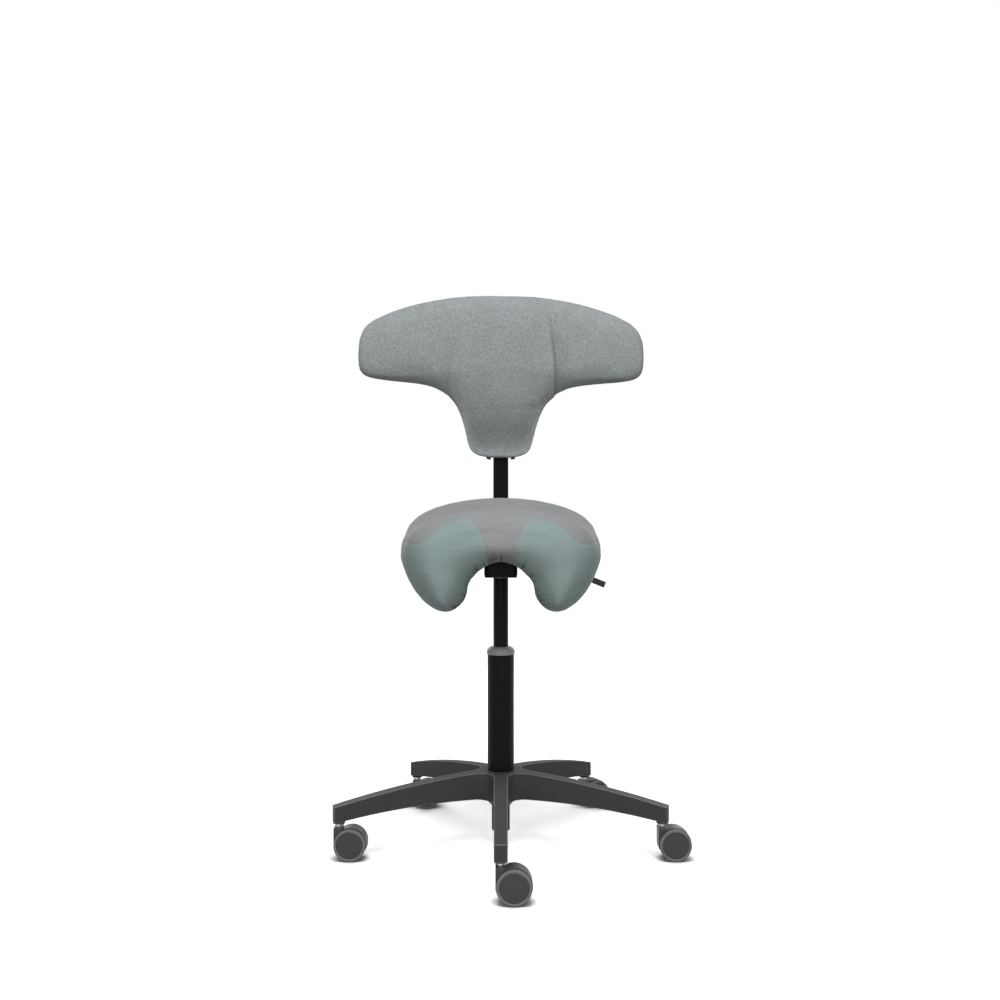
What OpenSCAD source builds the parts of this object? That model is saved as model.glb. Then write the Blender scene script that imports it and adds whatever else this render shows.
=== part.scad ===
// Saddle stool with a T-shaped backrest: five-arm base on twin-wheel castors,
// gas column, saddle seat, and a backrest on a J-shaped flat bar.
// Millimetres, Z up. The origin is on the floor, on the column's axis.
// The rider faces -Y, and the backrest stands on the +Y side.

/* [Base] */
// Reach of an arm, from the column's axis to its end face
arm_reach = 315; // [285:5:350]
// Width of an arm at the hub
arm_root_w = 25; // [23:1:30]
// Width of an arm at its end, and of the boss under it
arm_tip_w = 22; // [20:1:26]
// Height of the hub's top over the floor
hub_top = 137.5; // [132:0.5:146]
// Height of an arm's end over its boss
arm_tip_h = 30.5; // [30:0.5:36]
// Height of the arms at the hub
hub_h = 50; // [46:1:54]
// Radius of the fillets between two arms
web_r = 29; // [24:1:34]
// Wall of the arms, which are open below
arm_wall = 3; // [2.5:0.5:4]
// Thickness of a cross rib inside an arm
rib_w = 2; // [1.5:0.5:3]
// Number of cross ribs in each arm
ribs_per_arm = 5; // [3:1:7]
// Outer diameter of the sleeve under the hub
foot_d = 34; // [32:1:38]
// Height of the sleeve's lower end over the floor
foot_z = 25; // [18:1:40]

/* [Castors] */
// Diameter of a wheel over its tyre
wheel_d = 57; // [52:1:60]
// Distance from a castor's swivel axis to its wheels' axis
trail = 21; // [19:0.5:22]
// Width over both wheels
castor_w = 44; // [42:1:50]
// Width of the hood's fender
fender_w = 26; // [24:0.5:27]
// Thickness of the hood's middle web
web_w = 7; // [6:0.5:9]
// Depth of a tyre from its tread to its rim
tyre_t = 5; // [4:0.5:6]
// Diameter of a wheel's axle
axle_d = 6; // [5:0.5:8]
// Diameter of a castor's stem in its boss
stem_d = 11; // [10:0.5:12]
// Length of the stem in its boss
stem_l = 24; // [20:1:25]
// Height of a boss over the wheels' top, where the stem's collar shows
neck_h = 6.5; // [5:0.5:8]

/* [Column] */
// Outer diameter of the column's tube
tube_d = 50; // [46:1:52]
// Wall of the tube
tube_wall = 2; // [1.5:0.5:3]
// Height of the tube's top over the floor
tube_top = 355; // [340:5:370]
// Height over which the tube's foot is tapered
taper_h = 68; // [62:1:72]
// How much narrower the tube is at its foot
taper_drop = 3; // [2:0.5:4]
// Diameter of the gas cylinder
cyl_d = 28; // [26:1:30]
// Wall of the gas cylinder
cyl_wall = 2; // [1.5:0.5:2.5]
// Height of the cylinder's lower end, at the pictured seat height
cyl_bottom = 238; // [234:1:244]
// Length of the guide bush inside the tube
bush_l = 88; // [75:1:95]
// Height of the bush's rim on the tube's top
bush_rim_h = 6; // [4:1:8]
// Height of the bush's dome over its rim
bush_dome_h = 9; // [6:1:12]
// Diameter of the piston rod
rod_d = 10; // [8:1:11]

/* [Mechanism] */
// Width of the housing
housing_w = 61; // [59:1:66]
// Height of the housing's underside over the floor, at the pictured seat height
housing_z = 501; // [495:1:507]
// Height of the housing
housing_h = 36; // [35:1:40]
// Length of the housing before the column's axis
housing_front = 60; // [50:1:64]
// Length of the housing behind the column's axis
housing_rear = 105; // [100:1:120]
// Wall of the housing
housing_wall = 3; // [2.5:0.5:4]
// Distance from the column's axis to the lever's pivot
lever_pivot_x = 20; // [19:0.5:21]
// Diameter of the lever's rod
lever_d = 8; // [7:0.5:8.5]
// Reach of the lever from the column's axis to its grip's end
lever_reach = 204; // [195:1:220]
// Distance of the lever's grip behind the column's axis
lever_back = 75; // [72:1:85]
// Fall of the lever's sloping part
lever_fall = 37; // [30:1:40]
// Length of the lever's grip
grip_l = 62; // [50:1:70]
// Thickness of the grip
grip_t = 12; // [11:0.5:14]
// Width of the grip
grip_w = 26; // [22:1:30]

/* [Seat] */
// Width of the saddle
seat_w = 374; // [360:2:400]
// Length of the saddle
seat_l = 332; // [320:2:350]
// Height of the saddle's rear crest over the housing's underside
seat_rise = 153; // [145:1:165]
// Drop of the front flaps' tips below the housing's underside
flap_drop = 59; // [46:1:66]
// Width of the arch between the front flaps
arch_w = 103; // [98:1:110]
// Width inside the arch over the mechanism
bay_w = 200; // [192:2:206]
// Thickness of the seat's moulded shell
seat_shell_t = 4; // [3:0.5:5]
// Thickness of the seat's steel plate
plate_t = 3; // [2.5:0.5:4]
// Width of the steel plate
plate_w = 120; // [112:2:130]
// Length of the steel plate
plate_l = 140; // [130:2:150]

/* [Backrest] */
// Width of the backrest over its wings
back_w = 575; // [520:5:620]
// Height of the backrest
back_h = 337; // [310:1:370]
// Height of the backrest's lower edge over the housing's underside
back_rise = 241; // [236:1:262]
// Thickness of the back cushion at its crown
back_t = 50; // [44:1:58]
// Radius to which the backrest is curved about the rider
back_r = 620; // [540:10:800]
// Thickness of the backrest's moulded shell
back_shell_t = 5; // [4:0.5:6]
// Width of the flat bar
bar_w = 32; // [28:1:34]
// Depth of the flat bar
bar_t = 14; // [12:1:15]
// Wall of the flat bar
bar_wall = 2.5; // [2:0.5:3]
// Distance of the bar's upright leg behind the column's axis
bar_y = 232; // [226:1:245]
// Radius of the bar's bend, to its centre line
bend_r = 60; // [45:1:66]
// Height of the bar's top over the backrest's lower edge
bar_over = 128; // [122:1:140]
// Wall of the sleeve that slides on the bar
sleeve_wall = 4; // [3:0.5:5]
// Length of the sleeve
sleeve_l = 108; // [96:1:112]
// Diameter of the hand knob behind the backrest
knob_d = 38; // [32:1:44]

/* [Hidden] */
$fn = 64;
ARMS = 5;
FIRST_ARM = -90;
ARM_STEP = 360 / ARMS;
castor_heading = [0, 0, 25, 0, 0];
overrun = 1;
run_gap = 0.05;
slide_gap = 0.1;
part_gap = 0.3;
shell_gap = 0.8;

// Castor sizes that follow from the wheel
wheel_r = wheel_d / 2;
hood_over = 1;
fender_t = 4;
edge_t = 1;
rim_recess = 0.4;
disc_recess = 0.2;
pivot_step = 3;
boss_step = 2;
hood_r = wheel_r + hood_over;
well_r = hood_r - fender_t;
rim_r = wheel_r - tyre_t;
core_r = min(well_r - 2 * part_gap, rim_r + edge_t);
tyre_w = castor_w / 2 - fender_w / 2 - part_gap;
hood_block_top = wheel_d + hood_over / 2;
boss_z = wheel_d + neck_h;
boss_r = arm_tip_w / 2;
castor_at = arm_reach - boss_r;
pivot_d = stem_d - pivot_step;
pivot_low = hood_block_top - hood_r * 0.56;
collar_h = neck_h / 3;
collar_d = stem_d + pivot_step;

// Side outline of the base, as radius and height
arm_tip_top = boss_z + arm_tip_h;
arm_tip_low = boss_z + boss_step;
hub_low = hub_top - hub_h;
hub_flat_r = tube_d / 2 + boss_r * 1.35;
skirt_r = hub_flat_r * 1.24;
crown_share = 0.234;
arch_share = 0.105;
curve_steps = 12;
web_steps = 10;
bend_steps = 5;
rod_steps = 24;
web_centre = (web_r + arm_root_w / 2) / sin(ARM_STEP / 2);
web_end = (web_r + arm_root_w / 2) / tan(ARM_STEP / 2);
edge_r = boss_r / 4;

// Column heights
foot_step = 1.5;
foot_wall = 5;
bearing_h = 8;
tube_foot = hub_low + foot_step;
taper_top = tube_foot + taper_h;
floor_t = tube_wall * 2;
foot_bore = foot_d - 2 * foot_wall;
rod_shoulder_z = tube_foot + floor_t + bearing_h + part_gap;
bush_d = tube_d - 2 * tube_wall - 2 * run_gap;
bush_rim_d = tube_d + tube_wall * 1.4;
cyl_seal = cyl_wall * 6;
cone_h = housing_h * 0.61;
cone_top = housing_z + cone_h;
cone_drop = cyl_wall / 2;
valve_l = cone_h + cyl_wall * 4;
release_d = cyl_d * 0.2;
piston_z = (cyl_bottom + cyl_seal + housing_z) / 2 - cyl_bottom * 0.22;
piston_l = cyl_d / 2;

// Mechanism heights and places
housing_top = housing_z + housing_h;
lever_z = housing_top - lever_d / 2 - housing_wall / 1.5;
release_top = lever_z - lever_d / 2 - part_gap;
socket_d = cyl_d + 4 * housing_wall;
bar_z = housing_z + housing_wall * 3.2 + bar_t / 2;
tunnel_y = socket_d / 2 + housing_wall * 4.5;
bar_front = tunnel_y + housing_wall * 5;
clamp_y = housing_rear - cyl_d / 2 - housing_wall;
clamp_d = rod_d * 0.8;
plate_z = housing_top;
plate_top = plate_z + plate_t;
plate_y = plate_l / 7;
plate_corner = plate_w / 4;
bay_top = plate_top + 2 * part_gap + shell_gap + seat_shell_t;
seat_screw_x = plate_w / 2 - plate_corner * 0.6;
seat_screw_y = plate_l / 2 - plate_corner * 0.7;
screw_d = clamp_d * 0.625;

// Curves, outlines and rods that several pieces share
function quad(a, b, c, t) = pow(1 - t, 2) * a + 2 * t * (1 - t) * b + t * t * c;
function mid(a, b) = (a + b) / 2;
function flip(list) = [for (i = [len(list) - 1:-1:0]) list[i]];

function radial_curve(r0, z0, r1, z1, bend) =
    [for (i = [0:curve_steps]) let (t = i / curve_steps)
        [quad(r0, mid(r0, r1), r1, t), quad(z0, z0 + bend, z1, t)]];

module rounded_plate(w, l, r) {
    square([w - 2 * r, l], center = true);
    square([w, l - 2 * r], center = true);
    for (x = [-1, 1], y = [-1, 1])
        translate([x * (w / 2 - r), y * (l / 2 - r)]) circle(r = r);
}

function unit(v) = v / norm(v);

// Path with its corners rounded, and a round rod along a path
function eased(path, reach) =
    let (last = len(path) - 1)
        concat([path[0]],
               [for (i = [1:last - 1], k = [0:bend_steps])
                   quad(path[i] + unit(path[i - 1] - path[i]) * reach, path[i],
                        path[i] + unit(path[i + 1] - path[i]) * reach, k / bend_steps)],
               [path[last]]);

module swept_rod(path, d) {
    last = len(path) - 1;
    points = [for (i = [0:last])
        let (v = unit(path[min(i + 1, last)] - path[max(i - 1, 0)]), s = unit(cross(v, [0, 0, 1])),
             u = cross(s, v))
            for (j = [0:rod_steps - 1])
                let (a = 360 * j / rod_steps) path[i] + (cos(a) * s - sin(a) * u) * d / 2];
    faces = concat(
        ring_faces(last + 1, rod_steps), [[for (j = [0:rod_steps - 1]) j]],
        [[for (j = [rod_steps - 1:-1:0]) last * rod_steps + j]]);
    polyhedron(points = points, faces = faces, convexity = 4);
}

module bar_section(grow) {
    rounded_plate(bar_w + 2 * grow, bar_t + 2 * grow, bar_t * 0.36 + grow);
}

// Skin of a stack of rings with equal numbers of points, closed around each ring
function ring_faces(rings, n) =
    [for (i = [0:rings - 2], j = [0:n - 1], half = [0, 1])
        let (a = i * n + j, b = i * n + (j + 1) % n, c = a + n, d = b + n)
            half == 0 ? [a, d, b] : [a, c, d]];

// Base
top_curve = radial_curve(hub_flat_r, hub_top, arm_reach, arm_tip_top,
                         -crown_share * (hub_top - arm_tip_top));
low_curve = radial_curve(skirt_r, hub_low, arm_reach, arm_tip_low,
                         arch_share * (hub_low - arm_tip_low));
skirt_h = foot_d / 2;
skirt_curve = [for (i = [0:6]) let (t = i / 6)
    [quad(foot_d / 2, foot_d / 2 + (skirt_r - foot_d / 2) * 0.4, skirt_r, t),
     quad(hub_low - skirt_h, hub_low, hub_low, t)]];
hub_core_r = tube_d / 2 + arm_wall + boss_step;
roof = arm_wall * 1.2;

// Outline of the whole star: for each arm its rounded end, then the fillet to the next arm
function turned(p, a) = [p[0] * cos(a) - p[1] * sin(a), p[0] * sin(a) + p[1] * cos(a)];
function arm_end(inset) =
    let (tip = arm_tip_w / 2 - inset, end = arm_reach - inset, r = edge_r)
        concat([for (a = [-90:30:0]) [end - r + r * cos(a), -tip + r + r * sin(a)]],
               [for (a = [0:30:90]) [end - r + r * cos(a), tip - r + r * sin(a)]]);
function web_arc(inset) =
    let (first = 270 - ARM_STEP / 2, last = 90 + ARM_STEP / 2, r = web_r + inset)
        [for (k = [0:web_steps]) let (a = first + (last - first) * k / web_steps)
            [web_centre + r * cos(a), r * sin(a)]];
function star_outline(inset) =
    [for (i = [0:ARMS - 1], part = [0, 1])
        for (p = part == 0 ? arm_end(inset) : web_arc(inset))
            turned(p, FIRST_ARM + ARM_STEP * (i + part / 2))];

module at_castors() {
    for (i = [0:ARMS - 1])
        rotate(FIRST_ARM + ARM_STEP * i) translate([castor_at, 0, 0]) children();
}

module star_cavity() {
    difference() {
        intersection() {
            linear_extrude(height = hub_top) polygon(star_outline(arm_wall));
            rotate_extrude($fn = 180)
                polygon(concat(
                    [[hub_core_r, hub_low], [skirt_r + arm_wall, hub_low], [skirt_r + arm_wall, 0],
                     [arm_reach, 0], [arm_reach, arm_tip_top - roof]],
                    [for (p = flip(top_curve)) p - [0, roof]],
                    [[hub_core_r, hub_top - roof]]));
        }
        at_castors() cylinder(r = boss_r - part_gap, h = hub_top);
        for (i = [0:ARMS - 1], k = [1:ribs_per_arm])
            rotate(FIRST_ARM + ARM_STEP * i)
                translate([web_end + (castor_at - boss_r - web_end) * k / (ribs_per_arm + 1),
                           -arm_root_w / 2, 0])
                    cube([rib_w, arm_root_w, hub_top]);
    }
}

module base_star() color("#5a5b5c") {
    socket_h = hub_top - tube_foot + overrun;
    difference() {
        union() {
            intersection() {
                linear_extrude(height = hub_top + overrun) polygon(star_outline(0));
                rotate_extrude($fn = 180)
                    polygon(concat(
                        [[0, foot_z], [foot_d / 2, foot_z]], skirt_curve, low_curve,
                        [[arm_reach + arm_wall, arm_tip_low], [arm_reach + arm_wall, arm_tip_top]],
                        flip(top_curve), [[0, hub_top]]));
            }
            at_castors()
                translate([0, 0, boss_z]) cylinder(r = boss_r - part_gap, h = arm_tip_h / 2);
        }
        star_cavity();
        translate([0, 0, tube_foot])
            cylinder(d1 = tube_d - taper_drop + 2 * run_gap,
                     d2 = tube_d - taper_drop * (1 - socket_h / taper_h) + 2 * run_gap,
                     h = socket_h);
        translate([0, 0, foot_z - overrun])
            cylinder(d = foot_bore, h = tube_foot - foot_z + 2 * overrun);
        at_castors()
            translate([0, 0, boss_z - overrun])
                cylinder(d = stem_d + 2 * run_gap, h = stem_l + part_gap + overrun);
    }
}

// Castors, drawn with the stem's axis at the origin and the wheels towards +X
module at_castor(n) {
    arm = FIRST_ARM + ARM_STEP * (n - 1);
    rotate(arm) translate([castor_at, 0, 0]) rotate(castor_heading[n - 1] - arm) children();
}

module at_axle() {
    translate([trail, 0, wheel_r]) rotate([90, 0, 0]) children();
}

module castor_hood(n) color("#474848") at_castor(n) {
    block_l = hood_r * 0.5;
    difference() {
        union() {
            at_axle() cylinder(r = hood_r, h = fender_w, center = true);
            translate([trail - hood_r, -fender_w / 2, wheel_r])
                cube([block_l, fender_w, hood_block_top - wheel_r]);
        }
        for (side = [-1, 1])
            at_axle() translate([0, 0, side * (web_w + fender_w) / 2])
                cylinder(r = well_r, h = fender_w, center = true);
        translate([trail - hood_r - overrun, -fender_w, -overrun])
            cube([2 * hood_r + 2 * overrun, 2 * fender_w, wheel_r * 0.7 + overrun]);
        at_axle() cylinder(d = axle_d + 2 * run_gap, h = 2 * fender_w, center = true);
        translate([0, 0, pivot_low]) cylinder(d = pivot_d + 2 * run_gap, h = hood_r);
    }
}

module castor_stem(n) color("#b9bbbd") at_castor(n) {
    translate([0, 0, pivot_low + part_gap])
        cylinder(d = pivot_d, h = boss_z - pivot_low - part_gap);
    translate([0, 0, boss_z - collar_h]) cylinder(d = collar_d, h = collar_h);
    translate([0, 0, boss_z]) cylinder(d = stem_d, h = stem_l);
}

module castor_axle(n) color("#a5a7a9") at_castor(n) at_axle()
    cylinder(d = axle_d, h = castor_w - 2 * tyre_w / 3, center = true);

// A wheel on the +Z side of its axle, before it is turned to its side
module wheel_shape() {
    inner = web_w / 2 + part_gap * 2;
    step = fender_w / 2 + part_gap;
    face = castor_w / 2 - edge_t;
    bore_end = castor_w / 2 - tyre_w / 3 + part_gap;
    bore = axle_d / 2 + run_gap;
    rotate_extrude()
        polygon([[bore, inner], [core_r - edge_t, inner], [core_r, inner + edge_t],
                 [core_r, step], [rim_r, step], [rim_r, face - edge_t],
                 [rim_r - edge_t, face], [rim_r * 0.8, face - rim_recess],
                 [0, face - disc_recess], [0, bore_end], [bore, bore_end]]);
}

module tyre_shape() {
    low = fender_w / 2 + part_gap;
    high = castor_w / 2;
    round_r = tyre_t / 2;
    rotate_extrude()
        polygon(concat(
            [[rim_r + run_gap, low + part_gap]],
            [for (a = [-90:30:0]) [wheel_r - round_r + round_r * cos(a),
                                   low + part_gap + round_r + round_r * sin(a)]],
            [for (a = [0:22.5:90]) [wheel_r - round_r + round_r * cos(a),
                                    high - round_r + round_r * sin(a)]],
            [[rim_r + run_gap, high - edge_t]]));
}

module on_side(side) {
    mirror([0, 0, side < 0 ? 0 : 1]) children();
}

module castor_wheel(n, side) color("#3f4041") at_castor(n) at_axle() on_side(side) wheel_shape();

module castor_tyre(n, side) color("#8d8f91") at_castor(n) at_axle() on_side(side) tyre_shape();

// Column
module column_tube() color("#161616") difference() {
    union() {
        translate([0, 0, tube_foot])
            cylinder(d1 = tube_d - taper_drop, d2 = tube_d, h = taper_h);
        translate([0, 0, taper_top]) cylinder(d = tube_d, h = tube_top - taper_top);
    }
    translate([0, 0, tube_foot + floor_t])
        cylinder(d = tube_d - 2 * tube_wall - taper_drop, h = tube_top);
    translate([0, 0, taper_top]) cylinder(d = tube_d - 2 * tube_wall, h = tube_top);
    translate([0, 0, tube_foot - overrun])
        cylinder(d = rod_d + 2 * run_gap, h = floor_t + 2 * overrun);
}

module column_bush() color("#8f9193") {
    bore = cyl_d / 2 + run_gap;
    rim_z = tube_top + bush_rim_h;
    lip = bore + tube_wall / 2;
    rotate_extrude()
        polygon(concat(
            [[bore, tube_top - bush_l], [bush_d / 2, tube_top - bush_l], [bush_d / 2, tube_top],
             [bush_rim_d / 2, tube_top]],
            [for (a = [0:15:90]) [lip + (bush_rim_d / 2 - lip) * cos(a),
                                  rim_z + bush_dome_h * sin(a)]],
            [[bore, rim_z + bush_dome_h]]));
}

module thrust_bearing() color("#c4c6c8") {
    inner = rod_d / 2 + part_gap;
    outer = rod_d * 1.4;
    third = bearing_h / 3;
    translate([0, 0, tube_foot + floor_t])
        rotate_extrude()
            polygon([[inner, 0], [outer, 0], [outer, third], [outer - third / 2, third],
                     [outer - third / 2, 2 * third], [outer, 2 * third], [outer, bearing_h],
                     [inner, bearing_h]]);
}

clip_t = tube_wall;
clip_z = tube_foot - part_gap - clip_t;
groove_d = rod_d * 0.8;

module piston_rod() color("#c9cbcd") difference() {
    union() {
        translate([0, 0, clip_z - clip_t]) cylinder(d = rod_d, h = piston_z - clip_z + clip_t);
        translate([0, 0, rod_shoulder_z]) cylinder(d = rod_d * 1.7, h = floor_t);
        translate([0, 0, piston_z])
            cylinder(d = cyl_d - 2 * cyl_wall - 2 * slide_gap, h = piston_l);
    }
    translate([0, 0, clip_z - run_gap])
        difference() {
            cylinder(d = rod_d + 2 * overrun, h = clip_t + 2 * run_gap);
            cylinder(d = groove_d, h = clip_t + 2 * run_gap);
        }
}

module rod_clip() color("#9a9c9e") translate([0, 0, clip_z]) difference() {
    cylinder(d = rod_d * 1.7, h = clip_t);
    translate([0, 0, -overrun]) cylinder(d = groove_d + 2 * run_gap, h = clip_t + 2 * overrun);
}

module gas_cylinder() color("#141414") {
    valve_z = cone_top - valve_l;
    difference() {
        union() {
            translate([0, 0, cyl_bottom]) cylinder(d = cyl_d, h = housing_z - cyl_bottom);
            translate([0, 0, housing_z])
                cylinder(d1 = cyl_d, d2 = cyl_d - 2 * cone_drop, h = cone_h);
        }
        translate([0, 0, cyl_bottom - overrun])
            cylinder(d = rod_d + 2 * run_gap, h = cyl_seal + 2 * overrun);
        translate([0, 0, cyl_bottom + cyl_seal])
            cylinder(d = cyl_d - 2 * cyl_wall, h = valve_z - cyl_bottom - cyl_seal);
        translate([0, 0, valve_z + valve_l * 0.2])
            cylinder(d = release_d + 2 * run_gap, h = valve_l);
    }
}

module release_pin() color("#cfd1d3")
    translate([0, 0, cone_top - valve_l * 0.65])
        cylinder(d = release_d, h = release_top - cone_top + valve_l * 0.65);

// Mechanism under the seat
ear_in = lever_d / 2 + housing_wall + part_gap;
ear_out = ear_in + housing_wall * 1.3;
barrel_d = lever_d + housing_wall;

module housing_body() {
    chamfer = housing_wall;
    intersection() {
        translate([0, mid(-housing_front, housing_rear), housing_z])
            linear_extrude(height = housing_h)
                rounded_plate(housing_w, housing_front + housing_rear, housing_wall * 3);
        translate([0, housing_rear + overrun, 0])
            rotate([90, 0, 0])
                linear_extrude(height = housing_front + housing_rear + 2 * overrun)
                    polygon([[-housing_w / 2 + chamfer / 2, housing_z],
                             [housing_w / 2 - chamfer / 2, housing_z],
                             [housing_w / 2, housing_z + 2 * chamfer],
                             [housing_w / 2, housing_top], [-housing_w / 2, housing_top],
                             [-housing_w / 2, housing_z + 2 * chamfer]]);
    }
}

module mechanism_housing() color("#1c1d1e") difference() {
    union() {
        difference() {
            housing_body();
            translate([0, mid(housing_wall - housing_front, tunnel_y), housing_z + housing_wall])
                linear_extrude(height = housing_h)
                    rounded_plate(housing_w - 2 * housing_wall,
                                  housing_front - housing_wall + tunnel_y, housing_wall * 2);
        }
        translate([0, 0, housing_z]) cylinder(d = socket_d, h = cone_h);
        for (side = [-1, 1])
            translate([lever_pivot_x - barrel_d / 3, side * mid(ear_in, ear_out) - (ear_out - ear_in) / 2,
                       housing_z + housing_wall / 2])
                cube([housing_w / 2 - lever_pivot_x + barrel_d / 3 - housing_wall / 2,
                      ear_out - ear_in, lever_z + lever_d / 2 - housing_z - housing_wall / 2]);
    }
    translate([0, 0, housing_z])
        cylinder(d1 = cyl_d + 2 * run_gap, d2 = cyl_d - 2 * cone_drop + 2 * run_gap, h = cone_h);
    translate([0, 0, housing_z - overrun]) cylinder(d = cyl_d + 2 * run_gap, h = overrun);
    translate([0, 0, cone_top]) cylinder(d = cyl_d, h = housing_h);
    translate([lever_pivot_x, -lever_d / 2 - overrun, lever_z - lever_d])
        cube([housing_w, lever_d + 2 * overrun, housing_h]);
    translate([lever_pivot_x, 0, lever_z])
        rotate([90, 0, 0]) cylinder(d = screw_d + 2 * run_gap, h = 2 * ear_out + overrun, center = true);
    translate([0, housing_rear + overrun, bar_z])
        rotate([90, 0, 0])
            linear_extrude(height = housing_rear - tunnel_y + 2 * overrun) bar_section(slide_gap);
    translate([0, clamp_y, housing_z - overrun])
        cylinder(d = clamp_d + 2 * run_gap, h = bar_z - housing_z);
}

lever_exit = [housing_w / 2 + lever_d * 0.7, 0, lever_z];
lever_turn = [housing_w * 1.15, lever_back * 0.53, lever_z - lever_d * 1.5];
lever_bend = [housing_w * 1.84, lever_back, lever_z - lever_d * 1.5];
lever_end = [lever_reach, lever_back, lever_bend[2] - lever_fall];
grip_angle = atan2(lever_fall, lever_reach - lever_bend[0]);
grip_back = [-cos(grip_angle), 0, sin(grip_angle)];

module height_lever() color("#232425") difference() {
    union() {
        swept_rod(eased([[0, 0, lever_z], lever_exit, lever_turn, lever_bend,
                         lever_end + grip_back * grip_l * 0.4], lever_d * 1.4), lever_d);
        translate([lever_pivot_x, 0, lever_z])
            rotate([90, 0, 0]) cylinder(d = barrel_d, h = 2 * (ear_in - part_gap), center = true);
    }
    translate([lever_pivot_x, 0, lever_z])
        rotate([90, 0, 0]) cylinder(d = screw_d + 2 * run_gap, h = 4 * ear_in, center = true);
}

module lever_grip() color("#2a2b2c") translate(lever_end) rotate([0, grip_angle, 0]) difference() {
    intersection() {
        translate([-grip_l / 2, 0, -grip_t / 2])
            linear_extrude(height = grip_t) rounded_plate(grip_l, grip_w, grip_w / 4);
        translate([-grip_l, 0, 0]) rotate([90, 0, 90])
            linear_extrude(height = grip_l) rounded_plate(grip_w, grip_t, grip_t / 3);
    }
    translate([-grip_l - overrun, 0, 0]) rotate([0, 90, 0])
        cylinder(d = lever_d + 2 * run_gap, h = grip_l * 0.6 + overrun + part_gap);
}

module lever_pin() color("#b5b7b9")
    translate([lever_pivot_x, 0, lever_z])
        rotate([90, 0, 0]) cylinder(d = screw_d, h = 2 * ear_out, center = true);

module at_seat_screws() {
    for (x = [-1, 1], y = [-1, 1])
        translate([x * seat_screw_x, plate_y + y * seat_screw_y, 0]) children();
}

module seat_plate() color("#202122") difference() {
    translate([0, plate_y, plate_z])
        linear_extrude(height = plate_t) rounded_plate(plate_w, plate_l, plate_corner);
    at_seat_screws()
        translate([0, 0, plate_z - overrun])
            cylinder(d = screw_d + 2 * slide_gap, h = plate_t + 2 * overrun);
}

module seat_screws() color("#8a8c8e") at_seat_screws() {
    translate([0, 0, plate_z - screw_d * 0.6]) cylinder(d = screw_d * 1.8, h = screw_d * 0.6);
    translate([0, 0, plate_z]) cylinder(d = screw_d, h = bay_top - shell_gap - part_gap - plate_z);
}

// Saddle: sections across it at stations from the front to the rear. The values
// are shares, chosen by hand, of the seat's own sizes.
station_shares = [0, 0.15, 0.3, 0.45, 0.6, 0.75, 0.9, 1];
width_shares = [0.8, 0.89, 0.955, 1, 1, 0.985, 0.94, 0.87];
crest_shares = [0.74, 0.81, 0.77, 0.745, 0.8, 0.94, 1.045, 1.06];
widest_shares = [0.25, 0.28, 0.32, 0.37, 0.45, 0.56, 0.64, 0.66];
tip_x_shares = [0.487, 0.513, 0.575, 0.665, 0.73, 0.75, 0.73, 0.66];
tip_z_shares = [0.04, 0, 0.06, 0.3, 0.72, 1.02, 1.1, 1.2];
arch_x_shares = [-0.06, 0, 0.6, 0.98, 1, 1, 0.95, 0.8];
arch_z_shares = [-0.106, -0.093, 0, 0, 0, 0.03, 0.1, 0.19];
arch_square_shares = [1.85, 1.9, 6.5, 9, 9, 7, 4, 3];
side_share = 0.45;
nose_share = 0.2;
crown_power_shares = [2.4, 2.4, 2.4, 2.4, 2.3, 2.1, 1.9, 1.85];
flap_power = 1.78;
outer_upper = 8;
inner_upper = 8;
half_steps = 14;
seat_rings = 19;

function station_at(v, i = 0) =
    i >= len(station_shares) - 2 || v <= station_shares[i + 1] ? i : station_at(v, i + 1);
function slope_at(list, i) =
    let (a = max(i - 1, 0), b = min(i + 1, len(list) - 1))
        (list[b] - list[a]) / (station_shares[b] - station_shares[a]);
function along(list, v) =
    let (i = station_at(v), h = station_shares[i + 1] - station_shares[i],
         t = (v - station_shares[i]) / h)
        (2 * pow(t, 3) - 3 * t * t + 1) * list[i] + (pow(t, 3) - 2 * t * t + t) * h * slope_at(list, i)
        + (3 * t * t - 2 * pow(t, 3)) * list[i + 1] + (pow(t, 3) - t * t) * h * slope_at(list, i + 1);

function rise(s, power) = pow(max(s, 0), 2 / power);
function seat_half_w(v) = along(width_shares, v) * seat_w / 2;
function seat_crest(v) = housing_z + along(crest_shares, v) * seat_rise;
function seat_widest(v) = housing_z + along(widest_shares, v) * seat_rise;
function tip_x(v) = along(tip_x_shares, v) * seat_w / 2;
function tip_z(v) =
    housing_z - flap_drop + along(tip_z_shares, v) * (bay_top - housing_z + flap_drop);
function arch_x(v) = arch_w / 2 + along(arch_x_shares, v) * (bay_w - arch_w) / 2;
function arch_top(v) = bay_top + along(arch_z_shares, v) * seat_rise;
function arch_side(v) = tip_z(v) + side_share * (arch_top(v) - tip_z(v));

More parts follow.
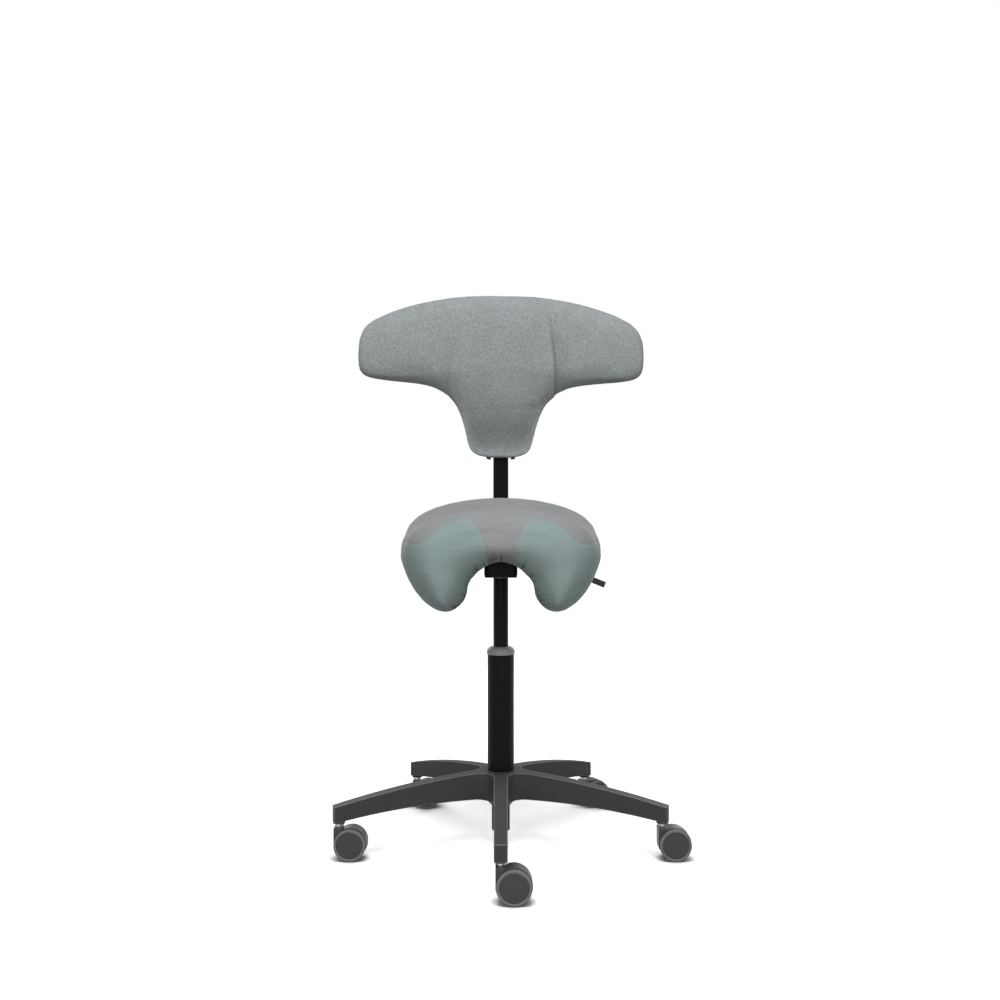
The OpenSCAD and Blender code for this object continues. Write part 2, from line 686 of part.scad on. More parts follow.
function outer_half(v) =
    [for (j = [0:half_steps])
        j <= outer_upper
        ? let (a = 90 * j / outer_upper)
            [seat_half_w(v) * rise(sin(a), along(crown_power_shares, v)),
             seat_widest(v)
             + (seat_crest(v) - seat_widest(v)) * rise(cos(a), along(crown_power_shares, v))]
        : let (a = 90 * (j - outer_upper) / (half_steps - outer_upper))
            [tip_x(v) + (seat_half_w(v) - tip_x(v)) * rise(cos(a), flap_power),
             seat_widest(v) - (seat_widest(v) - tip_z(v)) * rise(sin(a), flap_power)]];
function inner_half(v) =
    [for (j = [0:half_steps])
        j <= inner_upper
        ? let (a = 90 * j / inner_upper)
            [arch_x(v) * rise(sin(a), along(arch_square_shares, v)),
             arch_side(v) + (arch_top(v) - arch_side(v)) * rise(cos(a), along(arch_square_shares, v))]
        : let (a = 90 * (j - inner_upper) / (half_steps - inner_upper))
            [tip_x(v) - (tip_x(v) - arch_x(v)) * rise(cos(a), flap_power),
             arch_side(v) - (arch_side(v) - tip_z(v)) * rise(sin(a), flap_power)]];

function nose(v) =
    let (d = min(v, 1 - v) / nose_share)
        d >= 1 ? 1 : max(0.12, sqrt(1 - pow(1 - d, 2)));
// The nose's foremost line: its place between the inner and the outer side, and its
// lift at the flaps' tips
nose_low_share = 0.3;
nose_high_share = 0.56;
nose_lift_share = 0.25;
function nose_line(outer, inner, j, v) =
    let (t = j / half_steps, front = v < 0.5 ? 1 : 0,
         place = 0.5 + front * (nose_low_share + (nose_high_share - nose_low_share) * min(1, 2 * t) - 0.5))
        inner[j] + (outer[j] - inner[j]) * place + [0, front * nose_lift_share * flap_drop * pow(t, 4)];
function thinned(side, outer, inner, v) =
    [for (j = [0:half_steps])
        let (p = nose_line(outer, inner, j, v)) p + (side[j] - p) * nose(v)];
function mirrored(p) = [-p[0], p[1]];
function seat_ring(v) =
    let (outer = outer_half(v), inner = inner_half(v))
        arch_ring(thinned(outer, outer, inner, v), thinned(inner, outer, inner, v));
function spread(k, n) = (1 - cos(180 * k / n)) / 2;
function seat_y(v) = (v - 0.5) * seat_l;

// Faces that close an arch-shaped ring of 4 n points by strips from outer to inner side
function arch_cap(first, n) =
    concat(
        [for (j = [0:n - 1], half = [0:j < n - 1 ? 1 : 0])
            let (a = first + j, b = a + 1, d = first + 2 * n - j, c = d - 1)
                half == 0 ? [a, b, d] : [b, c, d]],
        [for (j = [0:n - 1], half = [0:j < n - 1 ? 1 : 0])
            let (a = first + (4 * n - j) % (4 * n), b = first + 4 * n - j - 1,
                 d = first + 2 * n + j, c = d + 1)
                half == 0 ? [a, d, b] : [b, d, c]]);

module seat_cushion() color("#94a09f") {
    n = 4 * half_steps;
    points = [for (k = [0:seat_rings - 1])
        let (v = spread(k, seat_rings - 1))
            for (p = seat_ring(v)) [p[0], seat_y(v), p[1]]];
    faces = concat(
        ring_faces(seat_rings, n), arch_cap(0, half_steps),
        [for (f = arch_cap((seat_rings - 1) * n, half_steps)) flip(f)]);
    polyhedron(points = points, faces = faces, convexity = 8);
}

// Moulded shell: a sheet under the cushion that follows its inner side
shell_first = 6;
shell_last = 14;
shell_steps = inner_upper;
lip_h = seat_shell_t * 2;

function shell_side(v) = min(arch_side(v), arch_top(v) - shell_gap - seat_shell_t - lip_h);
function shell_half(v, inset, edge) =
    [for (j = [0:shell_steps])
        let (a = 90 * j / shell_steps, p = along(arch_square_shares, v),
             x = arch_x(v) - (j == shell_steps ? edge : inset))
            [x * rise(sin(a), p),
             shell_side(v) + (arch_top(v) - inset - shell_side(v)) * rise(cos(a), p)]];
function arch_ring(o, i) =
    let (n = len(o) - 1)
        concat([for (j = [0:n]) o[j]], [for (j = [n - 1:-1:0]) i[j]],
               [for (j = [1:n]) mirrored(i[j])], [for (j = [n - 1:-1:1]) mirrored(o[j])]);

module seat_shell() color("#2b2c2d") difference() {
    n = 4 * shell_steps;
    edge = shell_gap + seat_shell_t / 2;
    points = [for (k = [shell_first:shell_last])
        let (v = spread(k, seat_rings - 1),
             ring = arch_ring(shell_half(v, shell_gap, edge),
                              shell_half(v, shell_gap + seat_shell_t, edge)))
            for (p = ring) [p[0], seat_y(v), p[1]]];
    faces = concat(
        ring_faces(shell_last - shell_first + 1, n), arch_cap(0, shell_steps),
        [for (f = arch_cap((shell_last - shell_first) * n, shell_steps)) flip(f)]);
    polyhedron(points = points, faces = faces, convexity = 8);
    at_seat_screws()
        translate([0, 0, plate_top]) cylinder(d = screw_d + 2 * slide_gap, h = bay_top - plate_top);
}

// Backrest: half of its T-shaped outline from the top to the lower edge, as
// shares of half the width and of the height
outline_shares = [
    [0, 1], [0.24, 0.993], [0.483, 0.958], [0.703, 0.898], [0.894, 0.811], [0.972, 0.734],
    [0.998, 0.635], [1, 0.539], [0.981, 0.491], [0.934, 0.467], [0.821, 0.458], [0.69, 0.453],
    [0.544, 0.437], [0.464, 0.415], [0.376, 0.368], [0.313, 0.294], [0.269, 0.195],
    [0.239, 0.095], [0.205, 0.034], [0.12, 0.003], [0, 0]];
// From the front's middle around the edge to the back: share of the outline and of the thickness
back_profile_shares = [
    [0.22, 1], [0.45, 0.985], [0.66, 0.95], [0.8, 0.88], [0.9, 0.77], [0.96, 0.63], [0.99, 0.48],
    [1, 0.33], [0.985, 0.16], [0.94, 0.04], [0.86, 0]];
outline_centre_share = 0.52;
outline_steps = 2;
back_z = housing_z + back_rise;
shell_back_y = bar_y - bar_t / 2 - slide_gap - sleeve_wall - run_gap;
cushion_back_y = shell_back_y - back_shell_t - part_gap;

function outline_corner(k) =
    let (m = len(outline_shares) - 1, i = (k + 4 * m) % (2 * m))
        i <= m ? outline_shares[i] : mirrored(outline_shares[2 * m - i]);
function blend(a, b, c, d, t) =
    (2 * b + (c - a) * t + (2 * a - 5 * b + 4 * c - d) * t * t
     + (3 * b - a - 3 * c + d) * pow(t, 3)) / 2;
function outline(share) =
    [for (k = [0:2 * len(outline_shares) - 3], i = [0:outline_steps - 1])
        let (p = blend(outline_corner(k - 1), outline_corner(k), outline_corner(k + 1),
                       outline_corner(k + 2), i / outline_steps))
            [p[0] * share * back_w / 2,
             back_z + (outline_centre_share + (p[1] - outline_centre_share) * share) * back_h]];
function curve_y(x) = cushion_back_y + sqrt(back_r * back_r - x * x) - back_r;

module back_cushion() color("#7f8787") {
    rings = len(back_profile_shares);
    n = len(outline(1));
    centre_z = back_z + outline_centre_share * back_h;
    points = concat(
        [for (s = back_profile_shares, p = outline(s[0])) [p[0], curve_y(p[0]) - s[1] * back_t, p[1]]],
        [[0, cushion_back_y - back_t, centre_z], [0, cushion_back_y, centre_z]]);
    last = (rings - 1) * n;
    faces = concat(
        ring_faces(rings, n),
        [for (j = [0:n - 1]) [rings * n, j, (j + 1) % n]],
        [for (j = [0:n - 1]) [rings * n + 1, last + (j + 1) % n, last + j]]);
    polyhedron(points = points, faces = faces, convexity = 8);
}

sleeve_z = back_z + sleeve_wall * 2.5;
sleeve_w = bar_w + 2 * sleeve_wall + 2 * slide_gap;
lug_r = screw_d * 0.9;
lug_step = 1.5;
lug_x = sleeve_w / 2 + lug_r + lug_step;
plate_low = back_z - lug_step;
knob_z = sleeve_z + sleeve_l * 0.45;
knob_l = knob_d * 0.5;

module at_back_screws() {
    for (x = [-1, 1], z = [lug_r * 3, sleeve_l - lug_r * 3])
        translate([x * lug_x, shell_back_y, sleeve_z + z]) rotate([-90, 0, 0]) children();
}

shell_share = 0.9;

module back_shell() color("#242526") difference() {
    shell_r = back_r + part_gap;
    intersection() {
        translate([0, bar_y, 0]) rotate([90, 0, 0])
            linear_extrude(height = bar_y) polygon(outline(shell_share));
        translate([0, cushion_back_y - back_r, back_z]) difference() {
            cylinder(r = shell_r + back_shell_t, h = back_h, $fn = 360);
            translate([0, 0, -overrun])
                cylinder(r = shell_r, h = back_h + 2 * overrun, $fn = 360);
        }
    }
    at_back_screws() translate([0, 0, -back_shell_t * 2])
        cylinder(d = screw_d + 2 * slide_gap, h = back_shell_t * 2 + overrun);
}

module back_sleeve() color("#1e1f20") difference() {
    union() {
        translate([0, bar_y, sleeve_z])
            linear_extrude(height = sleeve_l)
                rounded_plate(sleeve_w, bar_t + 2 * sleeve_wall + 2 * slide_gap, sleeve_wall);
        translate([0, shell_back_y + sleeve_wall, mid(plate_low, sleeve_z + sleeve_l)])
            rotate([90, 0, 0]) linear_extrude(height = sleeve_wall)
                rounded_plate(2 * (lug_x + lug_r), sleeve_z + sleeve_l - plate_low, lug_r);
    }
    translate([0, bar_y, sleeve_z - overrun])
        linear_extrude(height = sleeve_l + 2 * overrun) bar_section(slide_gap);
    translate([0, shell_back_y + sleeve_wall + overrun, plate_low]) rotate([90, 0, 0])
        linear_extrude(height = sleeve_wall + 2 * overrun)
            rounded_plate(sleeve_w + lug_step, 2 * (sleeve_z - plate_low - lug_step), lug_step);
    at_back_screws() translate([0, 0, -overrun])
        cylinder(d = screw_d + 2 * slide_gap, h = sleeve_wall + 2 * overrun);
    translate([0, bar_y, knob_z]) rotate([-90, 0, 0])
        cylinder(d = clamp_d + 2 * run_gap, h = bar_t + 2 * sleeve_wall);
}

module back_screws() color("#8a8c8e") at_back_screws() {
    translate([0, 0, -back_shell_t]) cylinder(d = screw_d, h = back_shell_t + sleeve_wall);
    translate([0, 0, sleeve_wall]) cylinder(d = screw_d * 1.7, h = screw_d * 0.6);
}

// Bar, its plug and the two clamping knobs
module bar_tube(grow) {
    upright_z = bar_z + bend_r;
    translate([0, bar_y, upright_z])
        linear_extrude(height = back_z + bar_over - upright_z) bar_section(grow);
    translate([0, bar_y - bend_r, bar_z]) rotate([90, 0, 0])
        linear_extrude(height = bar_y - bend_r - bar_front) bar_section(grow);
    translate([0, bar_y - bend_r, upright_z]) rotate([0, 90, 0])
        rotate_extrude(angle = 90, $fn = 96)
            translate([bend_r, 0]) rotate(90) bar_section(grow);
}

module back_bar() color("#262829") difference() {
    bar_tube(0);
    bar_tube(-bar_wall);
}

module bar_cap() color("#151617") {
    bar_top = back_z + bar_over;
    translate([0, bar_y, bar_top - bar_t])
        linear_extrude(height = bar_t) bar_section(-bar_wall - slide_gap);
    translate([0, bar_y, bar_top]) linear_extrude(height = bar_wall) bar_section(0);
}

// Hand knob from the origin towards +Z, with its threaded rod towards -Z
module hand_knob(d, l, rod_l) {
    lobes = 6;
    difference() {
        cylinder(d = d, h = l);
        for (i = [0:lobes - 1])
            rotate(360 / lobes * i) translate([d * 0.58, 0, -overrun])
                cylinder(d = d * 0.36, h = l + 2 * overrun);
    }
    translate([0, 0, -rod_l]) cylinder(d = clamp_d, h = rod_l);
}

module depth_knob() color("#232425") {
    low = housing_wall;
    translate([0, clamp_y, housing_z - low]) rotate([180, 0, 0])
        hand_knob(cyl_d - 2 * part_gap, cyl_d * 0.6, bar_z - bar_t / 2 - part_gap - housing_z + low);
}

module back_knob() color("#232425") {
    back = bar_y + bar_t / 2 + slide_gap + sleeve_wall + housing_wall;
    translate([0, back, knob_z]) rotate([-90, 0, 0])
        hand_knob(knob_d, knob_l, back - bar_y - bar_t / 2 - part_gap);
}

base_star();
column_tube();
column_bush();
thrust_bearing();
piston_rod();
rod_clip();
gas_cylinder();
release_pin();
mechanism_housing();
height_lever();
lever_grip();
lever_pin();
seat_plate();
seat_shell();
seat_cushion();
seat_screws();
back_bar();
bar_cap();
depth_knob();
back_sleeve();
back_shell();
back_cushion();
back_screws();
back_knob();
for (n = [1:ARMS]) {
    castor_hood(n);
    castor_stem(n);
    castor_axle(n);
    castor_wheel(n, 1);
    castor_tyre(n, 1);
    castor_wheel(n, -1);
    castor_tyre(n, -1);
}
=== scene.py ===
"""Looks of a saddle stool with a T-shaped backrest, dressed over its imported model."""
import logging
import math
from dataclasses import dataclass
from enum import Enum
from typing import Any

import bmesh
import bpy
import numpy as np
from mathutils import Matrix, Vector, noise


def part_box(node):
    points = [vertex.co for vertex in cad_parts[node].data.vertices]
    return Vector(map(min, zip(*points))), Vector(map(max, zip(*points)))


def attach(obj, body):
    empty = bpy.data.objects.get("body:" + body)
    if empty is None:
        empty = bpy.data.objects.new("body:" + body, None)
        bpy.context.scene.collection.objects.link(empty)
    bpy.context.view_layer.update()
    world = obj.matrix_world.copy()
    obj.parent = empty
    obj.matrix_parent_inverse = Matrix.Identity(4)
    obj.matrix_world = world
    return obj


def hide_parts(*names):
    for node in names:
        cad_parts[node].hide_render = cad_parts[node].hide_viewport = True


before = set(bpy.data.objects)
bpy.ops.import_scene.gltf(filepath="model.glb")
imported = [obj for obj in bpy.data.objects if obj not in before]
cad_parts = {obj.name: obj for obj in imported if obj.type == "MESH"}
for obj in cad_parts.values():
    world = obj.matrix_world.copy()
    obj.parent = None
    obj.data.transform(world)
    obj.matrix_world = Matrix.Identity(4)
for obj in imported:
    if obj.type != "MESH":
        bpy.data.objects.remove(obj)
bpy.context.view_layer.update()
log = logging.getLogger("saddle_stool")

MM = 0.001
Colour = tuple[float, float, float, float]
Place = tuple[float, float, float]
Span = tuple[float, float]

# The picture's viewpoint: level, in metres before the column and over the floor.
EYE_DISTANCE = 1.829
EYE_HEIGHT = 0.570

# Sockets of the colour mixing node: its share, its two colours and its result.
MIX_SHARE = 0
MIX_FIRST = 6
MIX_SECOND = 7
MIX_RESULT = 2

# Layers in a noise pattern: the more it has, the finer its smallest marks.
SMOOTH = 1.0
PLAIN = 2.0
CLOUDY = 3.0
RAGGED = 4.0
DUSTY = 5.0

# Rays that look for an edge, and the cosine below which a surface counts as turned.
EDGE_RAYS = 6
FLAT_COSINE = 0.995

# The values that a cover's points carry: shade painted in its creases and hollows, from
# 0 to 1, and the signed distance to the seam between the saddle's two tones, in metres.
PAINTED_SHADE_MARK = "painted_shade"
PANEL = "panel_side"
DARKEST_PAINTED_SHADE = 0.7


def linear(hex_colour: str) -> Colour:
    """Turns an sRGB colour into the linear values that a shader takes.

    Args:
        hex_colour: the colour as "#rrggbb".

    Returns:
        Linear red, green, blue and an alpha of 1.
    """
    shares = (int(hex_colour[i : i + 2], 16) / 255 for i in (1, 3, 5))
    red, green, blue = (s / 12.92 if s <= 0.04045 else ((s + 0.055) / 1.055) ** 2.4 for s in shares)
    return (red, green, blue, 1.0)


def darkened(hex_colour: str, share: float) -> Colour:
    """A colour's linear values, brought down to a share of its light."""
    red, green, blue, alpha = linear(hex_colour)
    return (share * red, share * green, share * blue, alpha)


def per_metre(size_mm: float) -> float:
    """The scale of a pattern whose marks are so many millimetres apart."""
    return 1 / (size_mm * MM)


def smooth_step(low: float, high: float, values: np.ndarray) -> np.ndarray:
    """Rises smoothly from 0 at low to 1 at high, also where low is the larger."""
    t = np.clip((values - low) / (high - low), 0.0, 1.0)
    return t * t * (3 - 2 * t)


def hump(values: np.ndarray, width: float) -> np.ndarray:
    """A smooth hump of height 1 about 0, falling off over its width."""
    return np.exp(-((values / width) ** 2))


def ripple(points: np.ndarray, waves: Place) -> np.ndarray:
    """Smooth noise from -1 to 1 at points, with so many waves to the metre each way."""
    return np.array([noise.noise(Vector(p)) for p in points * np.array(waves)])


def edge_distance(across: np.ndarray, up: np.ndarray, line: np.ndarray) -> np.ndarray:
    """Measures how far points lie from a broken line.

    Args:
        across: the points' places across.
        up: the points' heights.
        line: the line's corners in order, one to a row.

    Returns:
        The shortest distances, never negative.
    """
    best = np.full(len(across), np.inf)
    for (ax, az), (bx, bz) in zip(line, line[1:]):
        ex, ez = bx - ax, bz - az
        t = np.clip(((across - ax) * ex + (up - az) * ez) / (ex * ex + ez * ez), 0.0, 1.0)
        best = np.minimum(best, np.hypot(across - ax - t * ex, up - az - t * ez))
    return best


def softened(corners: list[Span], steps: int = 5) -> np.ndarray:
    """Rounds a broken line with a smooth curve through its corners.

    Args:
        corners: the line's corners in order, across and up.
        steps: the points from one corner to the next.

    Returns:
        The curve's points, one to a row.
    """
    points = np.array([corners[0], *corners, corners[-1]])
    line = []
    for p, q, r, s in zip(points, points[1:], points[2:], points[3:]):
        for t in np.arange(steps) / steps:
            slope = (r - p) * t
            bend = (2 * p - 5 * q + 4 * r - s) * t * t
            line.append((2 * q + slope + bend + (3 * q - p - 3 * r + s) * t**3) / 2)
    return np.array([*line, corners[-1]])


def add_node(
    tree: bpy.types.NodeTree,
    kind: str,
    settings: dict[Any, Any] | None = None,
    links: dict[Any, bpy.types.NodeSocket] | None = None,
) -> bpy.types.Node:
    """Adds a shader node with its settings and the links into it.

    Args:
        tree: the material's node tree.
        kind: the node's type name.
        settings: values by input name or index, or by the node's own property.
        links: output sockets by the input name or index that they feed.

    Returns:
        The new node.
    """
    node = tree.nodes.new(kind)
    for key, value in (settings or {}).items():
        if isinstance(key, int) or key in node.inputs:
            node.inputs[key].default_value = value
        else:
            setattr(node, key, value)
    for key, socket in (links or {}).items():
        tree.links.new(socket, node.inputs[key])
    return node


def worn_and_highlit_edges(
    tree: bpy.types.NodeTree, radius_mm: float, full_cosine: float, strength: float
) -> tuple[bpy.types.NodeSocket, bpy.types.NodeSocket]:
    """Rounds a surface's edges and finds where they turn pale: where hands and floors rub them, and where
    a highlight is painted along them.

    Args:
        tree: the material's node tree.
        radius_mm: the edges' radius, in millimetres.
        full_cosine: the cosine between rounded and flat surface where the pale edge is full.
        strength: the pale edge, part wear and part painted highlight, where it is full.

    Returns:
        The rounded surface's normal, and the pale edge, part wear and part painted highlight, from 0 to
        its strength.
    """
    rounded = add_node(
        tree, "ShaderNodeBevel", {"samples": EDGE_RAYS, "Radius": radius_mm * MM}
    ).outputs["Normal"]
    flat = add_node(tree, "ShaderNodeNewGeometry").outputs["Normal"]
    turn = add_node(
        tree, "ShaderNodeVectorMath", {"operation": "DOT_PRODUCT"}, {0: rounded, 1: flat}
    ).outputs["Value"]
    wear_and_highlight = add_node(
        tree, "ShaderNodeMapRange",
        {"From Min": FLAT_COSINE, "From Max": full_cosine, "To Min": 0.0, "To Max": strength},
        {"Value": turn},
    ).outputs["Result"]
    return rounded, wear_and_highlight


def with_painted_shade(tree: bpy.types.NodeTree, tone: bpy.types.NodeSocket) -> bpy.types.NodeSocket:
    """Paints shade into a cover's tone where its creases, seams and shaded hollows lie.

    Args:
        tree: the material's node tree.
        tone: the tone's socket.

    Returns:
        The socket of the tone with its painted shade.
    """
    depth = add_node(tree, "ShaderNodeAttribute", {"attribute_name": PAINTED_SHADE_MARK}).outputs["Fac"]
    left = add_node(tree, "ShaderNodeMath", {"operation": "SUBTRACT", 0: 1.0}, {1: depth}).outputs[0]
    return add_node(tree, "ShaderNodeMath", {"operation": "MULTIPLY"}, {0: tone, 1: left}).outputs[0]


class Slot(Enum):
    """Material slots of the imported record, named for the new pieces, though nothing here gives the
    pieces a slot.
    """

    STEEL = "bearing_steel"
    SEAT = "seat_cover"
    BACK = "back_cloth"


@dataclass(frozen=True)
class Finish:
    """A material and how its surface was made."""

    name: str
    hex_colour: str
    roughness: float

    def dress(self, tree: bpy.types.NodeTree, shader: bpy.types.Node) -> None:
        """Sets the shader's values and patterns. Each kind of finish has its own."""
        raise NotImplementedError

    def build(self) -> bpy.types.Material:
        """Makes the material.

        Returns:
            The material, with its node tree filled in.
        """
        material = bpy.data.materials.new(self.name)
        material.use_nodes = True
        tree = material.node_tree
        shader = tree.nodes["Principled BSDF"]
        shader.inputs["Base Color"].default_value = linear(self.hex_colour)
        shader.inputs["Roughness"].default_value = self.roughness
        self.dress(tree, shader)
        material.diffuse_color = linear(self.hex_colour)
        return material


@dataclass(frozen=True)
class MouldedPlastic(Finish):
    """Injection-moulded plastic: an even colour with a fine spark-eroded grain."""

    wear_and_highlight_hex: str = "#6a6a6a"
    cloud_mm: float = 38.5
    cloud_dark: float = 0.82
    grain_mm: float = 1.1
    grain_depth_mm: float = 0.05
    grain_bite: float = 0.6
    grain_relief: float = 0.6
    smoother: float = 0.07
    rougher: float = 0.08
    edge_mm: float = 0.9
    wear_and_highlight: float = 0.55
    wear_and_highlight_cosine: float = 0.9
    gloss: float = 0.25

    def dress(self, tree: bpy.types.NodeTree, shader: bpy.types.Node) -> None:
        """Adds the grain, slight clouding of the colour and rounded edges, made pale by wear and a
        painted highlight.

        Args:
            tree: the material's node tree.
            shader: its Principled shader.
        """
        shader.inputs["Specular IOR Level"].default_value = self.gloss
        place = add_node(tree, "ShaderNodeTexCoord").outputs["Object"]
        cloud = add_node(
            tree, "ShaderNodeTexNoise",
            {"Scale": per_metre(self.cloud_mm), "Detail": RAGGED}, {"Vector": place},
        ).outputs["Fac"]
        grain = add_node(
            tree, "ShaderNodeTexNoise",
            {"Scale": per_metre(self.grain_mm), "Detail": PLAIN, "Roughness": self.grain_bite},
            {"Vector": place},
        ).outputs["Fac"]
        rounded, wear_and_highlight = worn_and_highlit_edges(tree, self.edge_mm, self.wear_and_highlight_cosine, self.wear_and_highlight)
        body = add_node(
            tree, "ShaderNodeMix",
            {"data_type": "RGBA", MIX_FIRST: darkened(self.hex_colour, self.cloud_dark),
             MIX_SECOND: linear(self.hex_colour)},
            {MIX_SHARE: cloud},
        ).outputs[MIX_RESULT]
        # Paler edges: part wear, part a highlight line painted into the colour.
        colour = add_node(
            tree, "ShaderNodeMix", {"data_type": "RGBA", MIX_SECOND: linear(self.wear_and_highlight_hex)},
            {MIX_SHARE: wear_and_highlight, MIX_FIRST: body},
        ).outputs[MIX_RESULT]
        matt = add_node(
            tree, "ShaderNodeMapRange",
            {"To Min": self.roughness - self.smoother, "To Max": self.roughness + self.rougher},
            {"Value": grain},
        ).outputs["Result"]
        bump = add_node(
            tree, "ShaderNodeBump",
            {"Strength": self.grain_relief, "Distance": self.grain_depth_mm * MM},
            {"Height": grain, "Normal": rounded},
        ).outputs["Normal"]
        tree.links.new(colour, shader.inputs["Base Color"])
        tree.links.new(matt, shader.inputs["Roughness"])
        tree.links.new(bump, shader.inputs["Normal"])


@dataclass(frozen=True)
class PowderCoat(Finish):
    """Baked powder on steel: a satin film with a shallow orange peel."""

    gloss: float = 0.06
    peel_mm: float = 2.2
    peel_depth_mm: float = 0.03
    peel_relief: float = 0.5
    haze_mm: float = 55.6
    haze_dark: float = 0.7
    smoother: float = 0.08
    rougher: float = 0.1
    edge_mm: float = 0.8

    def dress(self, tree: bpy.types.NodeTree, shader: bpy.types.Node) -> None:
        """Adds the orange peel and slightly cloudy gloss.

        Args:
            tree: the material's node tree.
            shader: its Principled shader.
        """
        shader.inputs["Specular IOR Level"].default_value = self.gloss
        place = add_node(tree, "ShaderNodeTexCoord").outputs["Object"]
        peel = add_node(
            tree, "ShaderNodeTexNoise",
            {"Scale": per_metre(self.peel_mm), "Detail": SMOOTH}, {"Vector": place},
        ).outputs["Fac"]
        haze = add_node(
            tree, "ShaderNodeTexNoise",
            {"Scale": per_metre(self.haze_mm), "Detail": CLOUDY}, {"Vector": place},
        ).outputs["Fac"]
        rounded = add_node(
            tree, "ShaderNodeBevel", {"samples": EDGE_RAYS, "Radius": self.edge_mm * MM}
        ).outputs["Normal"]
        bump = add_node(
            tree, "ShaderNodeBump",
            {"Strength": self.peel_relief, "Distance": self.peel_depth_mm * MM},
            {"Height": peel, "Normal": rounded},
        ).outputs["Normal"]
        matt = add_node(
            tree, "ShaderNodeMapRange",
            {"To Min": self.roughness - self.smoother, "To Max": self.roughness + self.rougher},
            {"Value": haze},
        ).outputs["Result"]
        colour = add_node(
            tree, "ShaderNodeMix",
            {"data_type": "RGBA", MIX_FIRST: darkened(self.hex_colour, self.haze_dark),
             MIX_SECOND: linear(self.hex_colour)},
            {MIX_SHARE: haze},
        ).outputs[MIX_RESULT]
        tree.links.new(colour, shader.inputs["Base Color"])
        tree.links.new(matt, shader.inputs["Roughness"])
        tree.links.new(bump, shader.inputs["Normal"])


@dataclass(frozen=True)
class ZincedSteel(Finish):
    """Zinc-plated turned steel: bright, with fine rings from the lathe."""

    ring_mm: float = 0.5
    ring_length_mm: float = 33.3
    ring_depth_mm: float = 0.02
    ring_relief: float = 0.25
    smoother: float = 0.08
    rougher: float = 0.12

    def dress(self, tree: bpy.types.NodeTree, shader: bpy.types.Node) -> None:
        """Adds the turning marks and the metal's uneven gloss.

        Args:
            tree: the material's node tree.
            shader: its Principled shader.
        """
        shader.inputs["Metallic"].default_value = 1.0
        place = add_node(tree, "ShaderNodeTexCoord").outputs["Object"]
        along, across = per_metre(self.ring_length_mm), per_metre(self.ring_mm)
        turned = add_node(
            tree, "ShaderNodeMapping", {"Scale": (along, along, across)}, {"Vector": place}
        ).outputs["Vector"]
        rings = add_node(
            tree, "ShaderNodeTexNoise", {"Scale": 1.0, "Detail": PLAIN}, {"Vector": turned}
        ).outputs["Fac"]
        matt = add_node(
            tree, "ShaderNodeMapRange",
            {"To Min": self.roughness - self.smoother, "To Max": self.roughness + self.rougher},
            {"Value": rings},
        ).outputs["Result"]
        bump = add_node(
            tree, "ShaderNodeBump",
            {"Strength": self.ring_relief, "Distance": self.ring_depth_mm * MM}, {"Height": rings},
        ).outputs["Normal"]
        tree.links.new(matt, shader.inputs["Roughness"])
        tree.links.new(bump, shader.inputs["Normal"])


@dataclass(frozen=True)
class TreadRubber(Finish):
    """Cast polyurethane of a castor's tread: soft, matt, a little dusty."""

    dust_hex: str = "#7a7b7c"
    # The pale edge's colour: wear, with a painted highlight.
    edge_hex: str = "#b4b5b6"
    ior: float = 1.5
    dust_mm: float = 11.1
    bloom_mm: float = 1.11
    bloom_depth_mm: float = 0.05
    bloom_relief: float = 0.4
    edge_mm: float = 1.2
    wear_and_highlight: float = 0.8
    wear_and_highlight_cosine: float = 0.82

    def dress(self, tree: bpy.types.NodeTree, shader: bpy.types.Node) -> None:
        """Adds dust in patches, a fine bloom and pale edges, part wear and part painted highlight.

        Args:
            tree: the material's node tree.
            shader: its Principled shader.
        """
        shader.inputs["IOR"].default_value = self.ior
        place = add_node(tree, "ShaderNodeTexCoord").outputs["Object"]
        dust = add_node(
            tree, "ShaderNodeTexNoise",
            {"Scale": per_metre(self.dust_mm), "Detail": DUSTY}, {"Vector": place},
        ).outputs["Fac"]
        bloom = add_node(
            tree, "ShaderNodeTexNoise",
            {"Scale": per_metre(self.bloom_mm), "Detail": PLAIN}, {"Vector": place},
        ).outputs["Fac"]
        rounded, wear_and_highlight = worn_and_highlit_edges(tree, self.edge_mm, self.wear_and_highlight_cosine, self.wear_and_highlight)
        dusty = add_node(
            tree, "ShaderNodeMix",
            {"data_type": "RGBA", MIX_FIRST: linear(self.hex_colour), MIX_SECOND: linear(self.dust_hex)},
            {MIX_SHARE: dust},
        ).outputs[MIX_RESULT]
        # Pale edges: part wear, part a highlight painted into the colour.
        colour = add_node(
            tree, "ShaderNodeMix", {"data_type": "RGBA", MIX_SECOND: linear(self.edge_hex)},
            {MIX_SHARE: wear_and_highlight, MIX_FIRST: dusty},
        ).outputs[MIX_RESULT]
        bump = add_node(
            tree, "ShaderNodeBump",
            {"Strength": self.bloom_relief, "Distance": self.bloom_depth_mm * MM},
            {"Height": bloom, "Normal": rounded},
        ).outputs["Normal"]
        tree.links.new(colour, shader.inputs["Base Color"])
        tree.links.new(bump, shader.inputs["Normal"])


